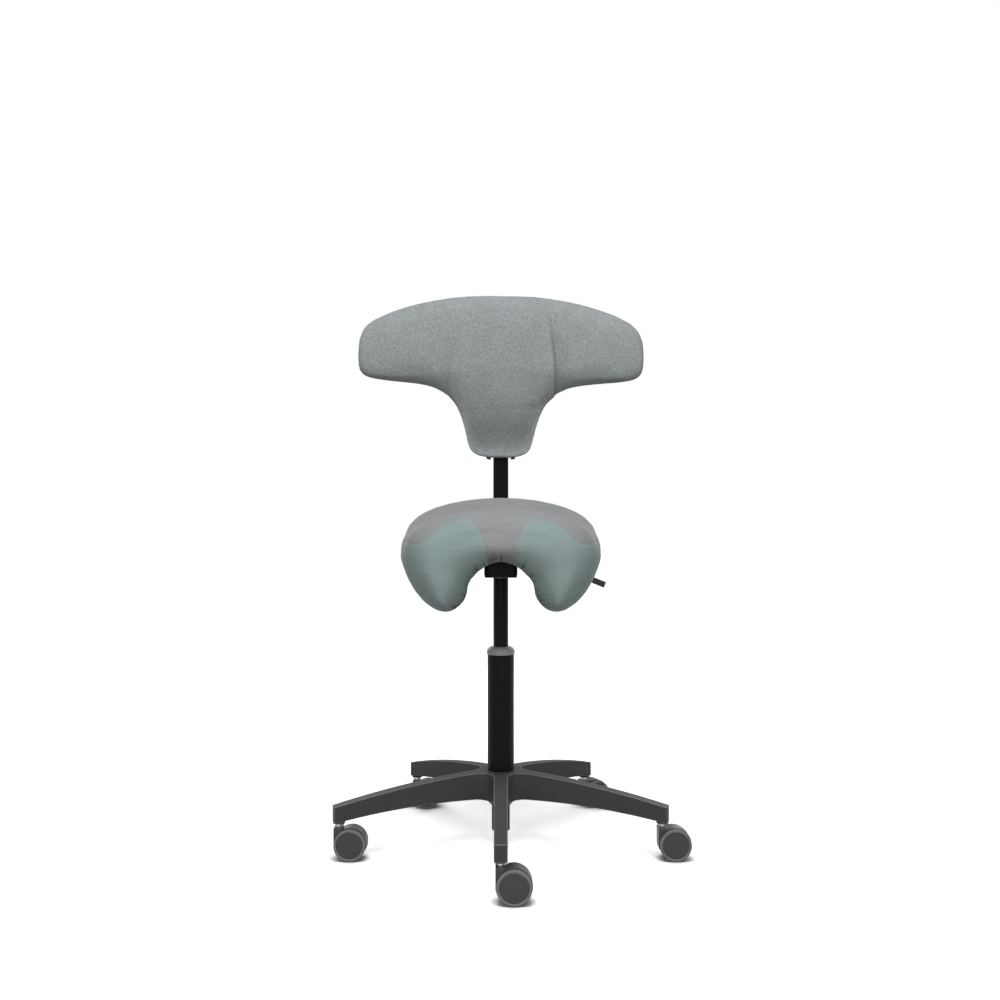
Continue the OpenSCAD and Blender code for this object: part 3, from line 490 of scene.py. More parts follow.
@dataclass(frozen=True)
class HeatherWeave(Finish):
    """Woven wool blend: light and dark threads mixed at random, with short slubs."""

    light_hex: str = "#acb1b1"
    dark_hex: str = "#7f8687"
    thread_mm: float = 1.5
    slub_mm: float = 5.5
    thread_bite: float = 0.7
    speck_mm: float = 1.2
    patch_mm: float = 45.5
    mix_span: Span = (1.18, 1.82)
    patch_span: Span = (0.3, 0.7)
    patch_tones: Span = (0.94, 1.04)
    relief: float = 0.8
    relief_mm: float = 0.35
    fuzz: float = 0.08
    fuzz_roughness: float = 0.5
    gloss: float = 0.2

    def dress(self, tree: bpy.types.NodeTree, shader: bpy.types.Node) -> None:
        """Adds warp and weft threads, the heather's speckle, fuzz and relief.

        A real thread is about 0.8 mm thick. It is drawn twice as coarse, as the
        picture's own pixels are nearly 2 mm.

        Args:
            tree: the material's node tree.
            shader: its Principled shader.
        """
        place = add_node(tree, "ShaderNodeTexCoord").outputs["Object"]
        across, along = per_metre(self.thread_mm), per_metre(self.slub_mm)
        threads = []
        for scale in ((along, along, across), (across, across, along)):
            lain = add_node(
                tree, "ShaderNodeMapping", {"Scale": scale}, {"Vector": place}
            ).outputs["Vector"]
            threads.append(add_node(
                tree, "ShaderNodeTexNoise",
                {"Scale": 1.0, "Detail": PLAIN, "Roughness": self.thread_bite}, {"Vector": lain},
            ).outputs["Fac"])
        speck = add_node(
            tree, "ShaderNodeTexNoise",
            {"Scale": per_metre(self.speck_mm), "Detail": SMOOTH}, {"Vector": place},
        ).outputs["Fac"]
        patch = add_node(
            tree, "ShaderNodeTexNoise",
            {"Scale": per_metre(self.patch_mm), "Detail": CLOUDY}, {"Vector": place},
        ).outputs["Fac"]
        mixed = speck
        for thread in threads:
            mixed = add_node(
                tree, "ShaderNodeMath", {"operation": "ADD"}, {0: mixed, 1: thread}
            ).outputs[0]
        cloth = add_node(
            tree, "ShaderNodeMapRange",
            {"From Min": self.mix_span[0], "From Max": self.mix_span[1]}, {"Value": mixed},
        ).outputs["Result"]
        colour = add_node(
            tree, "ShaderNodeMix",
            {"data_type": "RGBA", MIX_FIRST: linear(self.dark_hex), MIX_SECOND: linear(self.light_hex)},
            {MIX_SHARE: cloth},
        ).outputs[MIX_RESULT]
        shade = add_node(
            tree, "ShaderNodeMapRange",
            {"From Min": self.patch_span[0], "From Max": self.patch_span[1],
             "To Min": self.patch_tones[0], "To Max": self.patch_tones[1]},
            {"Value": patch},
        ).outputs["Result"]
        # The tone takes the shade painted in the cover's creases and seams.
        toned = add_node(
            tree, "ShaderNodeMix", {"data_type": "RGBA", "blend_type": "MULTIPLY", MIX_SHARE: 1.0},
            {MIX_FIRST: colour, MIX_SECOND: with_painted_shade(tree, shade)},
        ).outputs[MIX_RESULT]
        bump = add_node(
            tree, "ShaderNodeBump", {"Strength": self.relief, "Distance": self.relief_mm * MM},
            {"Height": mixed},
        ).outputs["Normal"]
        shader.inputs["Sheen Weight"].default_value = self.fuzz
        shader.inputs["Sheen Roughness"].default_value = self.fuzz_roughness
        shader.inputs["Specular IOR Level"].default_value = self.gloss
        tree.links.new(toned, shader.inputs["Base Color"])
        tree.links.new(bump, shader.inputs["Normal"])


@dataclass(frozen=True)
class StretchKnit(Finish):
    """Fine-rib stretch knit in two tones, parted along the cover's seam."""

    panel_hex: str = "#94a5a3"
    seam_mm: float = 0.4
    rib_mm: float = 1.6
    rib_length_mm: float = 9.0
    pull_mm: float = 3.4
    pull_length_mm: float = 38.0
    patch_mm: float = 71.4
    shade_span: Span = (1.1, 1.9)
    shade_tones: Span = (0.91, 1.07)
    relief: float = 0.55
    relief_mm: float = 0.35
    fuzz: float = 0.06
    fuzz_roughness: float = 0.45
    gloss: float = 0.25

    def dress(self, tree: bpy.types.NodeTree, shader: bpy.types.Node) -> None:
        """Adds the two tones, the rib and the faint lines that a stretched knit shows.

        The rib is about 0.6 mm on the real cover and is drawn coarser to show.

        Args:
            tree: the material's node tree.
            shader: its Principled shader.
        """
        place = add_node(tree, "ShaderNodeTexCoord").outputs["Object"]
        side = add_node(tree, "ShaderNodeAttribute", {"attribute_name": PANEL}).outputs["Fac"]
        parted = add_node(
            tree, "ShaderNodeMapRange",
            {"From Min": -self.seam_mm * MM, "From Max": self.seam_mm * MM}, {"Value": side},
        ).outputs["Result"]
        lines = []
        for width, length, layers in (
            (self.rib_mm, self.rib_length_mm, PLAIN), (self.pull_mm, self.pull_length_mm, CLOUDY)
        ):
            lain = add_node(
                tree, "ShaderNodeMapping",
                {"Scale": (per_metre(length), per_metre(length), per_metre(width))}, {"Vector": place},
            ).outputs["Vector"]
            lines.append(add_node(
                tree, "ShaderNodeTexNoise", {"Scale": 1.0, "Detail": layers}, {"Vector": lain}
            ).outputs["Fac"])
        patch = add_node(
            tree, "ShaderNodeTexNoise",
            {"Scale": per_metre(self.patch_mm), "Detail": PLAIN}, {"Vector": place},
        ).outputs["Fac"]
        base = add_node(
            tree, "ShaderNodeMix",
            {"data_type": "RGBA", MIX_FIRST: linear(self.hex_colour), MIX_SECOND: linear(self.panel_hex)},
            {MIX_SHARE: parted},
        ).outputs[MIX_RESULT]
        relief = add_node(
            tree, "ShaderNodeMath", {"operation": "ADD"}, {0: lines[0], 1: lines[1]}
        ).outputs[0]
        mottled = add_node(
            tree, "ShaderNodeMath", {"operation": "ADD"}, {0: relief, 1: patch}
        ).outputs[0]
        shade = add_node(
            tree, "ShaderNodeMapRange",
            {"From Min": self.shade_span[0], "From Max": self.shade_span[1],
             "To Min": self.shade_tones[0], "To Max": self.shade_tones[1]},
            {"Value": mottled},
        ).outputs["Result"]
        # The tone takes the shade painted in the cover's folds and along the arch's rim.
        toned = add_node(
            tree, "ShaderNodeMix", {"data_type": "RGBA", "blend_type": "MULTIPLY", MIX_SHARE: 1.0},
            {MIX_FIRST: base, MIX_SECOND: with_painted_shade(tree, shade)},
        ).outputs[MIX_RESULT]
        bump = add_node(
            tree, "ShaderNodeBump", {"Strength": self.relief, "Distance": self.relief_mm * MM},
            {"Height": relief},
        ).outputs["Normal"]
        shader.inputs["Sheen Weight"].default_value = self.fuzz
        shader.inputs["Sheen Roughness"].default_value = self.fuzz_roughness
        shader.inputs["Specular IOR Level"].default_value = self.gloss
        tree.links.new(toned, shader.inputs["Base Color"])
        tree.links.new(bump, shader.inputs["Normal"])


# Glass-filled nylon, moulded: dark graphite, satin, and paler along its edges, where they are rubbed and
# where a highlight line is painted.
NYLON = MouldedPlastic(
    "moulded_graphite_nylon", "#4f5051", 0.5, wear_and_highlight_hex="#a4a5a6", edge_mm=2.8, wear_and_highlight=0.9, gloss=0.06
)
# Powder-coated steel: near black, and its film gives a soft broad highlight.
ENAMEL = PowderCoat("black_powder_coated_steel", "#101111", 0.48)
# Moulded acetal of the guide bush: mid grey and waxy.
ACETAL = MouldedPlastic("moulded_grey_acetal", "#9a9c9e", 0.35, wear_and_highlight_hex="#c4c5c6", grain_depth_mm=0.01)
# Zinc-plated steel of pins and screws: bright with a bluish cast.
ZINC = ZincedSteel("zinc_plated_steel", "#b4b7bb", 0.3)
# Moulded polypropylene of shells, grip and knobs: black with a coarse grain.
POLYPROPYLENE = MouldedPlastic(
    "moulded_black_polypropylene", "#1f2021", 0.5, wear_and_highlight_hex="#4a4b4c", grain_mm=1.6
)
# Moulded polyamide of the castors' hoods and discs: dark and smoother than the base.
POLYAMIDE = MouldedPlastic(
    "moulded_castor_polyamide", "#424344", 0.42, wear_and_highlight_hex="#7a7b7c", grain_depth_mm=0.02
)
# Cast polyurethane tread: mid grey and matt, paler along its edges from wear and a painted highlight.
TREAD = TreadRubber("cast_grey_polyurethane", "#68696a", 0.62)
# Heathered wool blend of the backrest: a speckled cool grey without any shine.
HEATHER = HeatherWeave("woven_heather_wool", "#969c9d", 0.9)
# Stretch knit of the saddle: warm grey with sage panels, and faint level lines.
KNIT = StretchKnit("ribbed_stretch_knit", "#999b9d", 0.85)


def paint(node: str, material: bpy.types.Material) -> None:
    """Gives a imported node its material.

    Args:
        node: the node's name.
        material: what it is made of.
    """
    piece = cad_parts[node]
    if not piece.material_slots:
        piece.data.materials.append(material)
    for slot in piece.material_slots:
        slot.material = material
    log.info("%s dressed in %s", node, material.name)


def place_piece(piece: bpy.types.Object, body: str) -> None:
    """Makes a new piece ride on a body.

    Args:
        piece: the new piece.
        body: the body that carries it.
    """
    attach(piece, body)
    log.info("%s rides on %s", piece.name, body)


@dataclass
class Cushion:
    """Foam under a cloth cover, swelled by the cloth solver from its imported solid."""

    name: str = "cushion"
    node: str = "seat_cushion"
    body: str = "lift"
    slot: Slot = Slot.SEAT
    fill: float = 0.8
    weld_gap: float = 0.02 * MM
    voxel: float = 4.5 * MM
    relax_share: float = 0.5
    relax_rounds: int = 6
    shrink: float = 1.6 * MM
    swell_cap: float = 2.2 * MM
    pressure: float = 4.0
    cloth_mass: float = 0.25
    cloth_tension: float = 18.0
    cloth_compression: float = 12.0
    cloth_bending: float = 1.2
    cloth_steps: int = 4
    frames: int = 20
    subdivisions: int = 1

    def copied(self) -> bpy.types.Object:
        """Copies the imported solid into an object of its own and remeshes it.

        Returns:
            The new object, with evenly spread faces.
        """
        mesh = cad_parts[self.node].data.copy()
        piece = bpy.data.objects.new(self.name, mesh)
        bpy.context.scene.collection.objects.link(piece)
        mesh.materials.clear()
        weld = bmesh.new()
        weld.from_mesh(mesh)
        bmesh.ops.remove_doubles(weld, verts=weld.verts, dist=self.weld_gap)
        weld.to_mesh(mesh)
        weld.free()
        remesh = piece.modifiers.new("even", "REMESH")
        remesh.mode = "VOXEL"
        remesh.voxel_size = self.voxel
        remesh.use_smooth_shade = True
        relax = piece.modifiers.new("relax", "SMOOTH")
        relax.factor = self.relax_share
        relax.iterations = self.relax_rounds
        self.apply_modifiers(piece)
        return piece

    def apply_modifiers(self, piece: bpy.types.Object) -> None:
        """Bakes a piece's modifiers into its mesh.

        Args:
            piece: the piece, whose mesh is replaced.
        """
        graph = bpy.context.evaluated_depsgraph_get()
        baked = bpy.data.meshes.new_from_object(piece.evaluated_get(graph))
        piece.modifiers.clear()
        old = piece.data
        piece.data = baked
        bpy.data.meshes.remove(old)

    def points(self, piece: bpy.types.Object, kind: str = "co") -> np.ndarray:
        """Reads a piece's points or their normals.

        Args:
            piece: the piece.
            kind: "co" for the points' places, "normal" for their normals.

        Returns:
            The values, one point to a row.
        """
        values = np.empty(len(piece.data.vertices) * 3, np.float32)
        piece.data.vertices.foreach_get(kind, values)
        return values.reshape(-1, 3).astype(float)

    def move_to(self, piece: bpy.types.Object, points: np.ndarray) -> None:
        """Puts the piece's points at new places."""
        piece.data.vertices.foreach_set("co", points.astype(np.float32).ravel())
        piece.data.update()

    def mark(self, piece: bpy.types.Object, name: str, values: np.ndarray) -> None:
        """Keeps one value for each of the piece's points, for its material to read."""
        marks = piece.data.attributes.new(name, "FLOAT", "POINT")
        marks.data.foreach_set("value", values.astype(np.float32))

    def swell(self, piece: bpy.types.Object) -> None:
        """Runs the cloth solver on the cover and keeps its result.

        Args:
            piece: the cover, which starts a little inside its solid.
        """
        start = self.points(piece) - self.points(piece, "normal") * self.shrink
        self.move_to(piece, start)
        settings = piece.modifiers.new("cover", "CLOTH").settings
        settings.quality = self.cloth_steps
        settings.mass = self.cloth_mass
        settings.tension_stiffness = self.cloth_tension
        settings.compression_stiffness = self.cloth_compression
        settings.bending_stiffness = self.cloth_bending
        settings.use_pressure = True
        settings.uniform_pressure_force = self.pressure
        settings.effector_weights.gravity = 0.0
        scene = bpy.context.scene
        for number in range(1, self.frames + 1):
            scene.frame_set(number)
        self.apply_modifiers(piece)
        scene.frame_set(1)
        move = self.points(piece) - start
        length = np.linalg.norm(move, axis=1, keepdims=True)
        self.move_to(piece, start + move * np.minimum(1.0, self.swell_cap / np.maximum(length, 1e-9)))

    def fit(self, piece: bpy.types.Object) -> None:
        """Spreads the cover to its node's box again, as the remesh rounds it off.

        Args:
            piece: the swelled cover.
        """
        low, high = (np.array(corner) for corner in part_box(self.node))
        points = self.points(piece)
        start, end = points.min(axis=0), points.max(axis=0)
        self.move_to(piece, low + (points - start) * (high - low) / (end - start))

    def refine(self, piece: bpy.types.Object) -> None:
        """Subdivides the mesh once the cloth has its shape.

        Args:
            piece: the fitted cover.
        """
        finer = piece.modifiers.new("finer", "SUBSURF")
        finer.levels = finer.render_levels = self.subdivisions
        self.apply_modifiers(piece)

    def sew(self, piece: bpy.types.Object) -> None:
        """Presses the seams and folds into the cover. Each cushion has its own."""
        raise NotImplementedError

    def build(self, material: bpy.types.Material) -> bpy.types.Object:
        """Makes the cushion, dresses it and puts it in its node's place.

        Args:
            material: the cover's material.

        Returns:
            The finished cushion.
        """
        piece = self.copied()
        self.swell(piece)
        self.fit(piece)
        self.refine(piece)
        self.sew(piece)
        piece.data.materials.append(material)
        piece.data.shade_smooth()
        place_piece(piece, self.body)
        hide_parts(self.node)
        return piece


@dataclass
class SaddleCover(Cushion):
    """The saddle: grey over its crest and middle, with a sage panel on each flap."""

    name: str = "saddle_cover"
    # How far the flaps' front face stands before the column's axis.
    nose_reach: float = 115 * MM
    side_seam: float = 0.567
    side_seam_rise: float = 0.05
    rise_span: Span = (-0.03, 0.14)
    side_span: Span = (-0.06, -0.015)
    groove_depth: float = 0.7 * MM
    groove_width: float = 2.2 * MM
    front_span: Span = (-0.02, -0.07)
    fold_centre: float = 0.455
    fold_waves: Place = (15, 25, 10)
    fold_height: float = 0.8 * MM
    fold_inset: float = 4 * MM
    fold_width: float = 11 * MM
    fold_painted_shade: float = 0.9
    slack_waves: Place = (14, 14, 50)
    slack_height: float = 0.25 * MM
    slack_span: Span = (0.6, 0.5)
    roll: float = 11 * MM
    roll_width: float = 22 * MM
    roll_span: Span = (0.535, 0.49)
    tip: float = 7 * MM
    tip_span: Span = (0.51, 0.445)
    facing_span: Span = (0.1, -0.3)
    # The shade painted along the flaps' inner rim by the arch: its width and depth.
    rim_width: float = 12 * MM
    rim_painted_shade: float = 0.34

    def __post_init__(self) -> None:
        """Sets the arch's and the panel's outlines, as seen from the front, in metres."""
        self.arch = np.array([
            (0.0, 0.531), (0.020, 0.528), (0.034, 0.5187), (0.041, 0.5117), (0.046, 0.5046),
            (0.052, 0.4904), (0.057, 0.476), (0.0645, 0.462), (0.076, 0.448),
        ])
        self.edge = softened([
            (0.230, 0.573), (0.175, 0.569), (0.158, 0.562), (0.146, 0.5625), (0.135, 0.568),
            (0.119, 0.581), (0.102, 0.596), (0.091, 0.6015), (0.078, 0.605), (0.065, 0.607),
            (0.053, 0.605), (0.043, 0.595), (0.034, 0.578), (0.028, 0.558), (0.024, 0.536),
            (0.021, 0.505), (0.019, 0.40),
        ])

    def seen_from_front(self, points: np.ndarray) -> tuple[np.ndarray, np.ndarray]:
        """Throws points onto the flaps' front face, as the picture shows them.

        Args:
            points: places, one to a row.

        Returns:
            Their distances from the middle, to either side, and their heights.
        """
        share = (EYE_DISTANCE - self.nose_reach) / (EYE_DISTANCE + points[:, 1])
        return np.abs(points[:, 0]) * share, EYE_HEIGHT + (points[:, 2] - EYE_HEIGHT) * share

    def side_of_seam(self, points: np.ndarray) -> np.ndarray:
        """Measures how far points lie from the seam between the tones.

        Args:
            points: places, one to a row.

        Returns:
            Signed distances, positive on the sage panels.
        """
        x, z = self.seen_from_front(points)
        upper = np.interp(x, self.edge[::-1, 0], self.edge[::-1, 1])
        inside = (z < upper) & (x > self.edge[-1, 0])
        front = edge_distance(x, z, self.edge) * np.where(inside, 1.0, -1.0)
        seam = self.side_seam + self.side_seam_rise * smooth_step(*self.rise_span, points[:, 1])
        behind = smooth_step(*self.side_span, points[:, 1])
        return front * (1 - behind) + (seam - points[:, 2]) * behind

    def sew(self, piece: bpy.types.Object) -> None:
        """Presses in the seam's groove and the soft folds where the knit is pulled, and paints shade into
        the folds' hollows and along the arch's rim.

        Args:
            piece: the refined cover.
        """
        points, normals = self.points(piece), self.points(piece, "normal")
        side = self.side_of_seam(points)
        x, z = self.seen_from_front(points)
        inward = edge_distance(x, z, self.arch)
        front = smooth_step(*self.front_span, points[:, 1])
        # The folds fan out round the arch.
        turn = np.arctan2(z - self.fold_centre, points[:, 0])
        around = np.column_stack([turn, inward, points[:, 1]])
        folds = ripple(around, self.fold_waves) * hump(inward - self.fold_inset, self.fold_width) * front
        height = -self.groove_depth * hump(side, self.groove_width)
        slack = smooth_step(*self.slack_span, points[:, 2])
        height += ripple(points, self.slack_waves) * self.slack_height * slack
        height += folds * self.fold_height
        # The foam rolls back round the arch and thins towards the tips of the flaps.
        rolled = self.roll * hump(inward, self.roll_width) * smooth_step(*self.roll_span, z)
        rolled += self.tip * smooth_step(*self.tip_span, z)
        points[:, 1] += rolled * front * smooth_step(*self.facing_span, normals[:, 1])
        self.move_to(piece, points + normals * height[:, None])
        self.mark(piece, PANEL, side)
        # Painted shade: darker in the folds' hollows and along the flaps' inner rim by the arch.
        painted_shade = np.clip(-folds, 0.0, 1.0) * self.fold_painted_shade
        painted_shade += self.rim_painted_shade * hump(inward, self.rim_width) * front
        self.mark(piece, PAINTED_SHADE_MARK, np.clip(painted_shade, 0.0, DARKEST_PAINTED_SHADE))


@dataclass
class BackCloth(Cushion):
    """The backrest's cushion: three sewn panels of heather cloth."""

    name: str = "back_cloth"
    node: str = "back_cushion"
    body: str = "back"
    slot: Slot = Slot.BACK
    fill: float = 0.75
    shrink: float = 1.2 * MM
    rear_share: float = 0.75
    rear_blend: float = 10 * MM
    front_blend: float = 30 * MM
    taut_span: Span = (0.82, 0.87)
    slack_span: Span = (0.96, 1.05)
    slack: float = 0.85
    ridge_height: float = 2.0 * MM
    ridge_width: float = 26 * MM
    ridge_span: Span = (3.5 * MM, -3 * MM)
    trough_depth: float = 1.4 * MM
    trough_width: float = 7 * MM
    trough_inset: float = 4 * MM
    left_depth: float = 0.8 * MM
    left_width: float = 6 * MM
    tuck_depth: float = 1.5 * MM
    tuck_width: float = 6 * MM
    tuck_span: Span = (0.045, 0.075)
    # The shade painted in and beside the seams and in the neck's tuck.
    seam_painted_shade: float = 0.30
    seam_shade_inset: float = 2 * MM
    seam_shade_width: float = 3 * MM
    left_seam_painted_shade: float = 0.10
    band_edge: float = 2 * MM
    right_band_painted_shade: float = 0.12
    right_band_width: float = 26 * MM
    left_band_painted_shade: float = 0.05
    left_band_width: float = 20 * MM
    tuck_painted_shade: float = 0.18
    # The shade painted towards the neck's foot, darker lower down.
    neck_painted_shade: float = 0.32
    neck_span: Span = (0.88, 0.78)
    swell_waves: Place = (16, 16, 16)
    swell_height: float = 0.5 * MM
    recess: float = 30 * MM
    recess_span: Span = (0.94, 0.74)
    wrap: float = 1.8 * MM
    wrap_facing: Span = (-0.2, -0.7)
    wrap_span: Span = (0.84, 0.87)
    lean: float = math.radians(0.65)
    lean_height: float = 0.925

    def __post_init__(self) -> None:
        """Sets the seams' lines, as places across and heights, in metres."""
        low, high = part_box(self.node)
        self.rear = low.y + (high.y - low.y) * self.rear_share
        self.right_seam = softened([
            (0.114, 0.83), (0.110, 0.91), (0.103, 0.98), (0.093, 1.05), (0.088, 1.09)
        ])
        self.left_seam = softened([
            (-0.112, 0.86), (-0.106, 0.91), (-0.093, 0.97), (-0.083, 1.03), (-0.078, 1.09)
        ])
        self.tuck = softened([(0.096, 0.866), (0.086, 0.853), (0.072, 0.847), (0.055, 0.848)])

    def relief(self, points: np.ndarray) -> tuple[np.ndarray, np.ndarray]:
        """Works out the seams, the neck's tuck, the cloth's unevenness and its painted shade.

        Args:
            points: the cover's points, one to a row.

        Returns:
            The height to add along the normals, in metres, and the shade painted in and beside the seams,
            in the tuck and towards the neck's foot.
        """
        x, z = points[:, 0], points[:, 2]
        right = x - np.interp(z, self.right_seam[:, 1], self.right_seam[:, 0])
        left = x - np.interp(z, self.left_seam[:, 1], self.left_seam[:, 0])
        # The seams pull hardest at the wings' roots and run out towards the top.
        taut = smooth_step(*self.taut_span, z) * (1 - self.slack * smooth_step(*self.slack_span, z))
        tuck = hump(edge_distance(x, z, self.tuck), self.tuck_width) * smooth_step(*self.tuck_span, x)
        ridge = hump(right, self.ridge_width) * smooth_step(*self.ridge_span, right)
        height = self.ridge_height * ridge * taut
        height -= self.trough_depth * hump(right - self.trough_inset, self.trough_width) * taut
        height -= self.left_depth * hump(left, self.left_width) * taut
        height -= self.tuck_depth * tuck
        height += ripple(points, self.swell_waves) * self.swell_height
        # Painted shade in and beside the seams, where the panels turn from the light.
        painted_shade = self.seam_painted_shade * hump(right - self.seam_shade_inset, self.seam_shade_width)
        painted_shade += self.left_seam_painted_shade * hump(left, self.seam_shade_width)
        right_band = smooth_step(0.0, self.band_edge, right) * hump(right, self.right_band_width)
        left_band = smooth_step(0.0, -self.band_edge, left) * hump(left, self.left_band_width)
        painted_shade += self.right_band_painted_shade * right_band + self.left_band_painted_shade * left_band
        painted_shade *= taut
        # Painted shade in the neck's tuck, and darker towards the neck's foot.
        painted_shade += self.tuck_painted_shade * tuck + self.neck_painted_shade * smooth_step(*self.neck_span, z)
        return height, painted_shade

    def sew(self, piece: bpy.types.Object) -> None:
        """Presses in the seams, thins the foam, sets the cover on its shell and keeps its painted shade.

        Args:
            piece: the refined cover.
        """
        points, normals = self.points(piece), self.points(piece, "normal")
        z = points[:, 2]
        height, painted_shade = self.relief(points)
        height *= smooth_step(self.rear + self.rear_blend, self.rear - self.rear_blend, points[:, 1])
        points += normals * height[:, None]
        # The foam thins towards the foot of the neck.
        front = smooth_step(self.rear, self.rear - self.front_blend, points[:, 1])
        points[:, 1] += self.recess * smooth_step(*self.recess_span, z) * front
        # Its lower edge wraps under the shell's.
        under = smooth_step(*self.wrap_facing, normals[:, 2]) * smooth_step(*self.wrap_span, z)
        points[:, 2] -= self.wrap * under
        # The sewn cover sits a little askew on its shell.
        cos, sin = math.cos(self.lean), math.sin(self.lean)
        across, up = points[:, 0].copy(), points[:, 2] - self.lean_height
        points[:, 0] = across * cos + up * sin
        points[:, 2] = self.lean_height + up * cos - across * sin
        self.move_to(piece, points)
        self.mark(piece, PAINTED_SHADE_MARK, np.clip(painted_shade * front, 0.0, DARKEST_PAINTED_SHADE))


@dataclass
class Base:
    """The five-arm base with its column."""

    washer_height: float = 499.5 * MM
    washer_radius: float = 13.9 * MM
    washer_thickness: float = 1.4 * MM
    washer_steps: int = 64
    washer_sides: int = 12

    def dress(
        self, nylon: bpy.types.Material, enamel: bpy.types.Material,
        acetal: bpy.types.Material, steel: bpy.types.Material,
    ) -> None:
        """Paints the base, the tube, the bush and the inner pieces.

        Args:
            nylon: the base's material.
            enamel: the material of the tube and the gas cylinder.
            acetal: the guide bush's material.
            steel: the material of the inner pieces and the washer.
        """
        paint("base_star", nylon)
        paint("column_tube", enamel)
        paint("gas_cylinder", enamel)
        paint("column_bush", acetal)
        for node in ("thrust_bearing", "piston_rod", "rod_clip", "release_pin"):
            paint(node, steel)
        self.washer(steel)

    def washer(self, steel: bpy.types.Material) -> None:
        """Adds the thin bright washer round the gas cylinder, just under the housing.

        Args:
            steel: its material.
        """
        bpy.ops.mesh.primitive_torus_add(
            major_radius=self.washer_radius, minor_radius=self.washer_thickness / 2,
            major_segments=self.washer_steps, minor_segments=self.washer_sides,
            location=(0.0, 0.0, self.washer_height),
        )
        ring = bpy.context.object
        ring.name = "column_washer"
        ring.data.materials.append(steel)
        ring.data.shade_smooth()
        place_piece(ring, "lift")


@dataclass
class Castors:
    """Five castors of two wheels each."""

    count: int = 5

    def dress(
        self, plastic: bpy.types.Material, tread: bpy.types.Material, steel: bpy.types.Material
    ) -> None:
        """Paints every castor's pieces.

        Args:
            plastic: the material of the hoods and wheels.
            tread: the tyres' material.
            steel: the material of the stems and axles.
        """
        for number in range(1, self.count + 1):
            for piece in ("hood", "left_wheel", "right_wheel"):
                paint(f"castor_{number}_{piece}", plastic)
            for piece in ("left_tyre", "right_tyre"):
                paint(f"castor_{number}_{piece}", tread)
            for piece in ("stem", "axle"):
                paint(f"castor_{number}_{piece}", steel)


@dataclass
class Mechanism:
    """The housing under the seat, its lever, the backrest's bar, the shells and the knobs."""

    grip_edge: float = 2.5 * MM
    grip_steps: int = 4

    def dress(
        self, enamel: bpy.types.Material, plastic: bpy.types.Material, steel: bpy.types.Material
    ) -> None:
        """Paints the pieces and rounds the edges of the lever's grip.

        Args:
            enamel: the material of the housing, the plate, the bar and the lever.
            plastic: the material of the grip, the shells, the sleeve, the plug and the knobs.
            steel: the material of the pin and the screws.
        """
        for node in ("mechanism_housing", "seat_plate", "back_bar", "height_lever"):
            paint(node, enamel)
        for node in ("lever_grip", "seat_shell", "back_shell", "back_sleeve", "bar_cap"):
            paint(node, plastic)
        for node in ("depth_knob", "back_knob"):
            paint(node, plastic)
        for node in ("lever_pin", "seat_screws", "back_screws"):
            paint(node, steel)
        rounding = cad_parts["lever_grip"].modifiers.new("rounded", "BEVEL")
        rounding.width = self.grip_edge
        rounding.segments = self.grip_steps


@dataclass(frozen=True)
class SoftBox:
    """A square lamp: where it hangs, the point it faces, its side in metres and its watts."""

    name: str
    place: Place
    aim: Place
    side: float
    power: float

    def hang(self) -> None:
        """Adds the lamp to the scene."""
        data = bpy.data.lights.new(self.name, "AREA")
        data.shape = "SQUARE"
        data.size = self.side
        data.energy = self.power
        lamp = bpy.data.objects.new(self.name, data)
        lamp.location = Vector(self.place)
        facing = Vector(self.aim) - Vector(self.place)
        lamp.rotation_euler = facing.to_track_quat("-Z", "Y").to_euler()
        bpy.context.scene.collection.objects.link(lamp)


LAMPS = (
    SoftBox("overhead_box", (0.0, -0.6, 2.0), (0.0, 0.0, 0.8), 0.9, 14.0),
    SoftBox("left_box", (-1.1, -1.75, 1.05), (0.0, 0.0, 0.5), 1.1, 9.5),
    SoftBox("right_box", (1.1, -1.75, 1.0), (0.0, 0.0, 0.5), 1.1, 9.5),
    SoftBox("low_box", (0.0, -2.1, 0.45), (0.0, 0.0, 0.3), 0.8, 4.5),
    SoftBox("rear_left_box", (-1.2, 1.9, 1.2), (0.0, 0.0, 0.6), 1.1, 10.0),
    SoftBox("rear_right_box", (1.2, 1.9, 1.2), (0.0, 0.0, 0.6), 1.1, 10.0),
)


